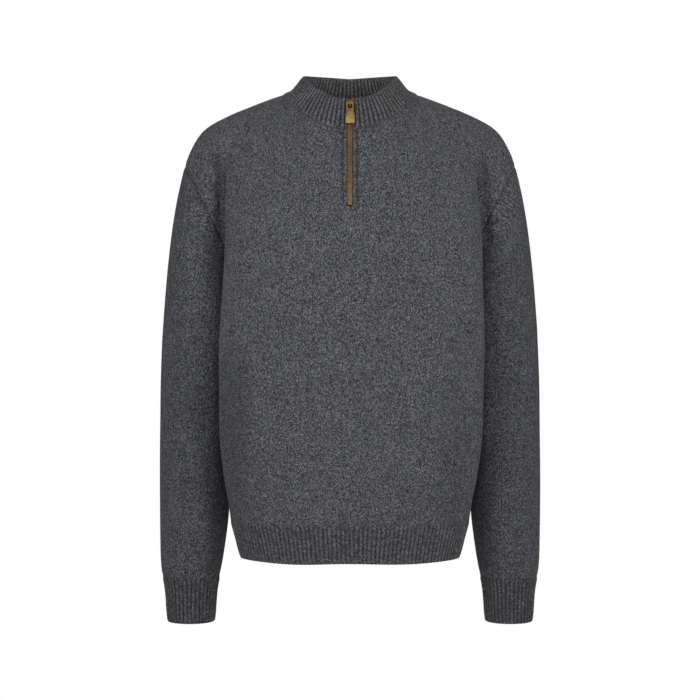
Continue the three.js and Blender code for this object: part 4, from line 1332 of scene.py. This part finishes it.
# the bail is a narrow arch: two feet and a bar. It is drawn flat and turned to stand on the plate.
arch = [(0.0046, 0.0086), (0.0054, 0.0077), (0.0054, 0.0048)]
hollow = [(0.0040, 0.0048), (0.0040, 0.0068), (0.0034, 0.0074)]
bail = bmesh.new()
plate(bail, both_sides(arch + hollow, 3), -0.0011, 0.0011, 0.0004)
bail.transform(Matrix(((0, 0, 1, 0), (1, 0, 0, 0), (0, 1, 0, 0), (0, 0, 0, 1))))
add_part(bm, bail)
# the slider's plating is painted darker than the pull's, and darker still in the hollow under the
# pull: painted shade where the pull lies close over it
hollow_at = slider_place @ Vector((0, -0.0036, 0.0040))
slider_gold = metal(
    "gold plating, tarnished under the pull",
    (0.62, 0.42, 0.18),
    (0.44, 0.28, 0.12),
    0.26,
    (hollow_at, (0.0034, 0.0064, 0.0016), UP_ZIP, OUT_ZIP),
)
piece = metal_piece("slider", bm, slider_place, slider_gold)
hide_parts("zip_slider")
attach(piece, "sweater")

# Pull tab: a flat plated tab that hinges on the bail, with an open window round it, a waist and a
# square foot. Its face is left bare.
PIVOT = 0.0063
ROD_RADIUS = 0.0009
ROD_LENGTH = 0.0104
bm = bmesh.new()
outer = [
    (0.0055, -0.0360),
    (0.0065, -0.0350),
    (0.0065, -0.0205),
    (0.0052, -0.0182),
    (0.0048, -0.0150),
    (0.0050, -0.0120),
    (0.0053, -0.0086),
    (0.0053, 0.0006),
]
window = [(0.0030, 0.0006), (0.0030, -0.0088), (0.0023, -0.0096)]
plate(bm, both_sides(outer + window, len(outer)), -0.0007, 0.0007, 0.00025)
rod = bmesh.new()
bmesh.ops.create_cone(
    rod,
    cap_ends=True,
    segments=24,
    radius1=ROD_RADIUS,
    radius2=ROD_RADIUS,
    depth=ROD_LENGTH,
    matrix=Matrix.Rotation(np.pi / 2, 4, "Y"),
)
add_part(bm, rod)
piece = metal_piece("pull_tab", bm, slider_place @ Matrix.Translation((0, 0, PIVOT)), gold)
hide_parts("zip_pull")
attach(piece, "pull")

# Photographer's set: a pale floor under a white ground, a soft box at each side of the camera that
# leaves the inner sleeves in shade, weaker lights round them, and a level camera straight in front.
FLOOR_REACH = 2.3
FLOOR_AT = -2.2
FLOOR_SIDES = 96
rim = np.radians(np.arange(FLOOR_SIDES) * 360 / FLOOR_SIDES)
disc = FLOOR_REACH * np.stack([np.cos(rim), np.sin(rim), 0 * rim], -1) + [0, 0, FLOOR_AT]
mesh = bpy.data.meshes.new("floor")
mesh.from_pydata(disc.tolist(), [], [tuple(range(FLOOR_SIDES))])
paint, _, shader = new_material("pale studio floor")
shader.inputs["Base Color"].default_value = (0.86, 0.86, 0.86, 1)
mesh.materials.append(paint)
new_object("floor", mesh)
# all lights aim at the middle of the body
LIGHTS_AIM = (0, 0, -0.36)


def soft_light(name, at, size, power):
    light = bpy.data.lights.new(name, "AREA")
    light.shape = "RECTANGLE"
    light.size, light.size_y = size
    light.energy = power
    forward = unit(np.array(LIGHTS_AIM) - np.array(at, float))
    right = unit(np.cross(forward, [0, 0, 1]))
    turn = np.eye(4)
    turn[:3, :4] = np.stack([right, np.cross(right, forward), -forward, at], -1)
    new_object(name, light).matrix_world = Matrix(turn.tolist())


soft_light("left box", (-1.8, -2.1, 0.35), (1.2, 1.4), 33)
soft_light("right box", (1.8, -2.1, 0.30), (1.2, 1.4), 33)
soft_light("front", (0, -3.3, 0.0), (1.6, 1.2), 29)
soft_light("left side", (-2.6, 0.4, 0.3), (0.9, 1.4), 6)
soft_light("right side", (2.6, 0.4, 0.3), (0.9, 1.4), 9)
soft_light("overhead", (0, -1.1, 1.9), (0.9, 0.6), 1.9)
soft_light("behind", (0, 3.0, 0.8), (2.0, 1.5), 80)

scene = bpy.context.scene
world = bpy.data.worlds.new("studio")
world.use_nodes = True
tree = world.node_tree
glow = tree.nodes["Background"]
glow.inputs["Color"].default_value = (0.95, 0.97, 1.0, 1)
glow.inputs["Strength"].default_value = 0.07
white = node(tree, "ShaderNodeBackground", Color=(1, 1, 1, 1), Strength=1.0)
seen = tree.nodes.new("ShaderNodeLightPath").outputs["Is Camera Ray"]
paper = node(tree, "ShaderNodeMixShader", {0: seen, 1: glow.outputs[0], 2: white.outputs[0]})
tree.links.new(paper.outputs[0], tree.nodes["World Output"].inputs["Surface"])
scene.world = world
scene.view_settings.view_transform = "Standard"
CAMERA_AT = (0, -2.8, -0.3625)
lens = bpy.data.cameras.new("camera")
lens.lens = 99.3
lens.sensor_width = 36
camera = new_object("camera", lens)
camera.matrix_world = Matrix.Translation(CAMERA_AT) @ Matrix.Rotation(np.pi / 2, 4, "X")
scene.camera = camera
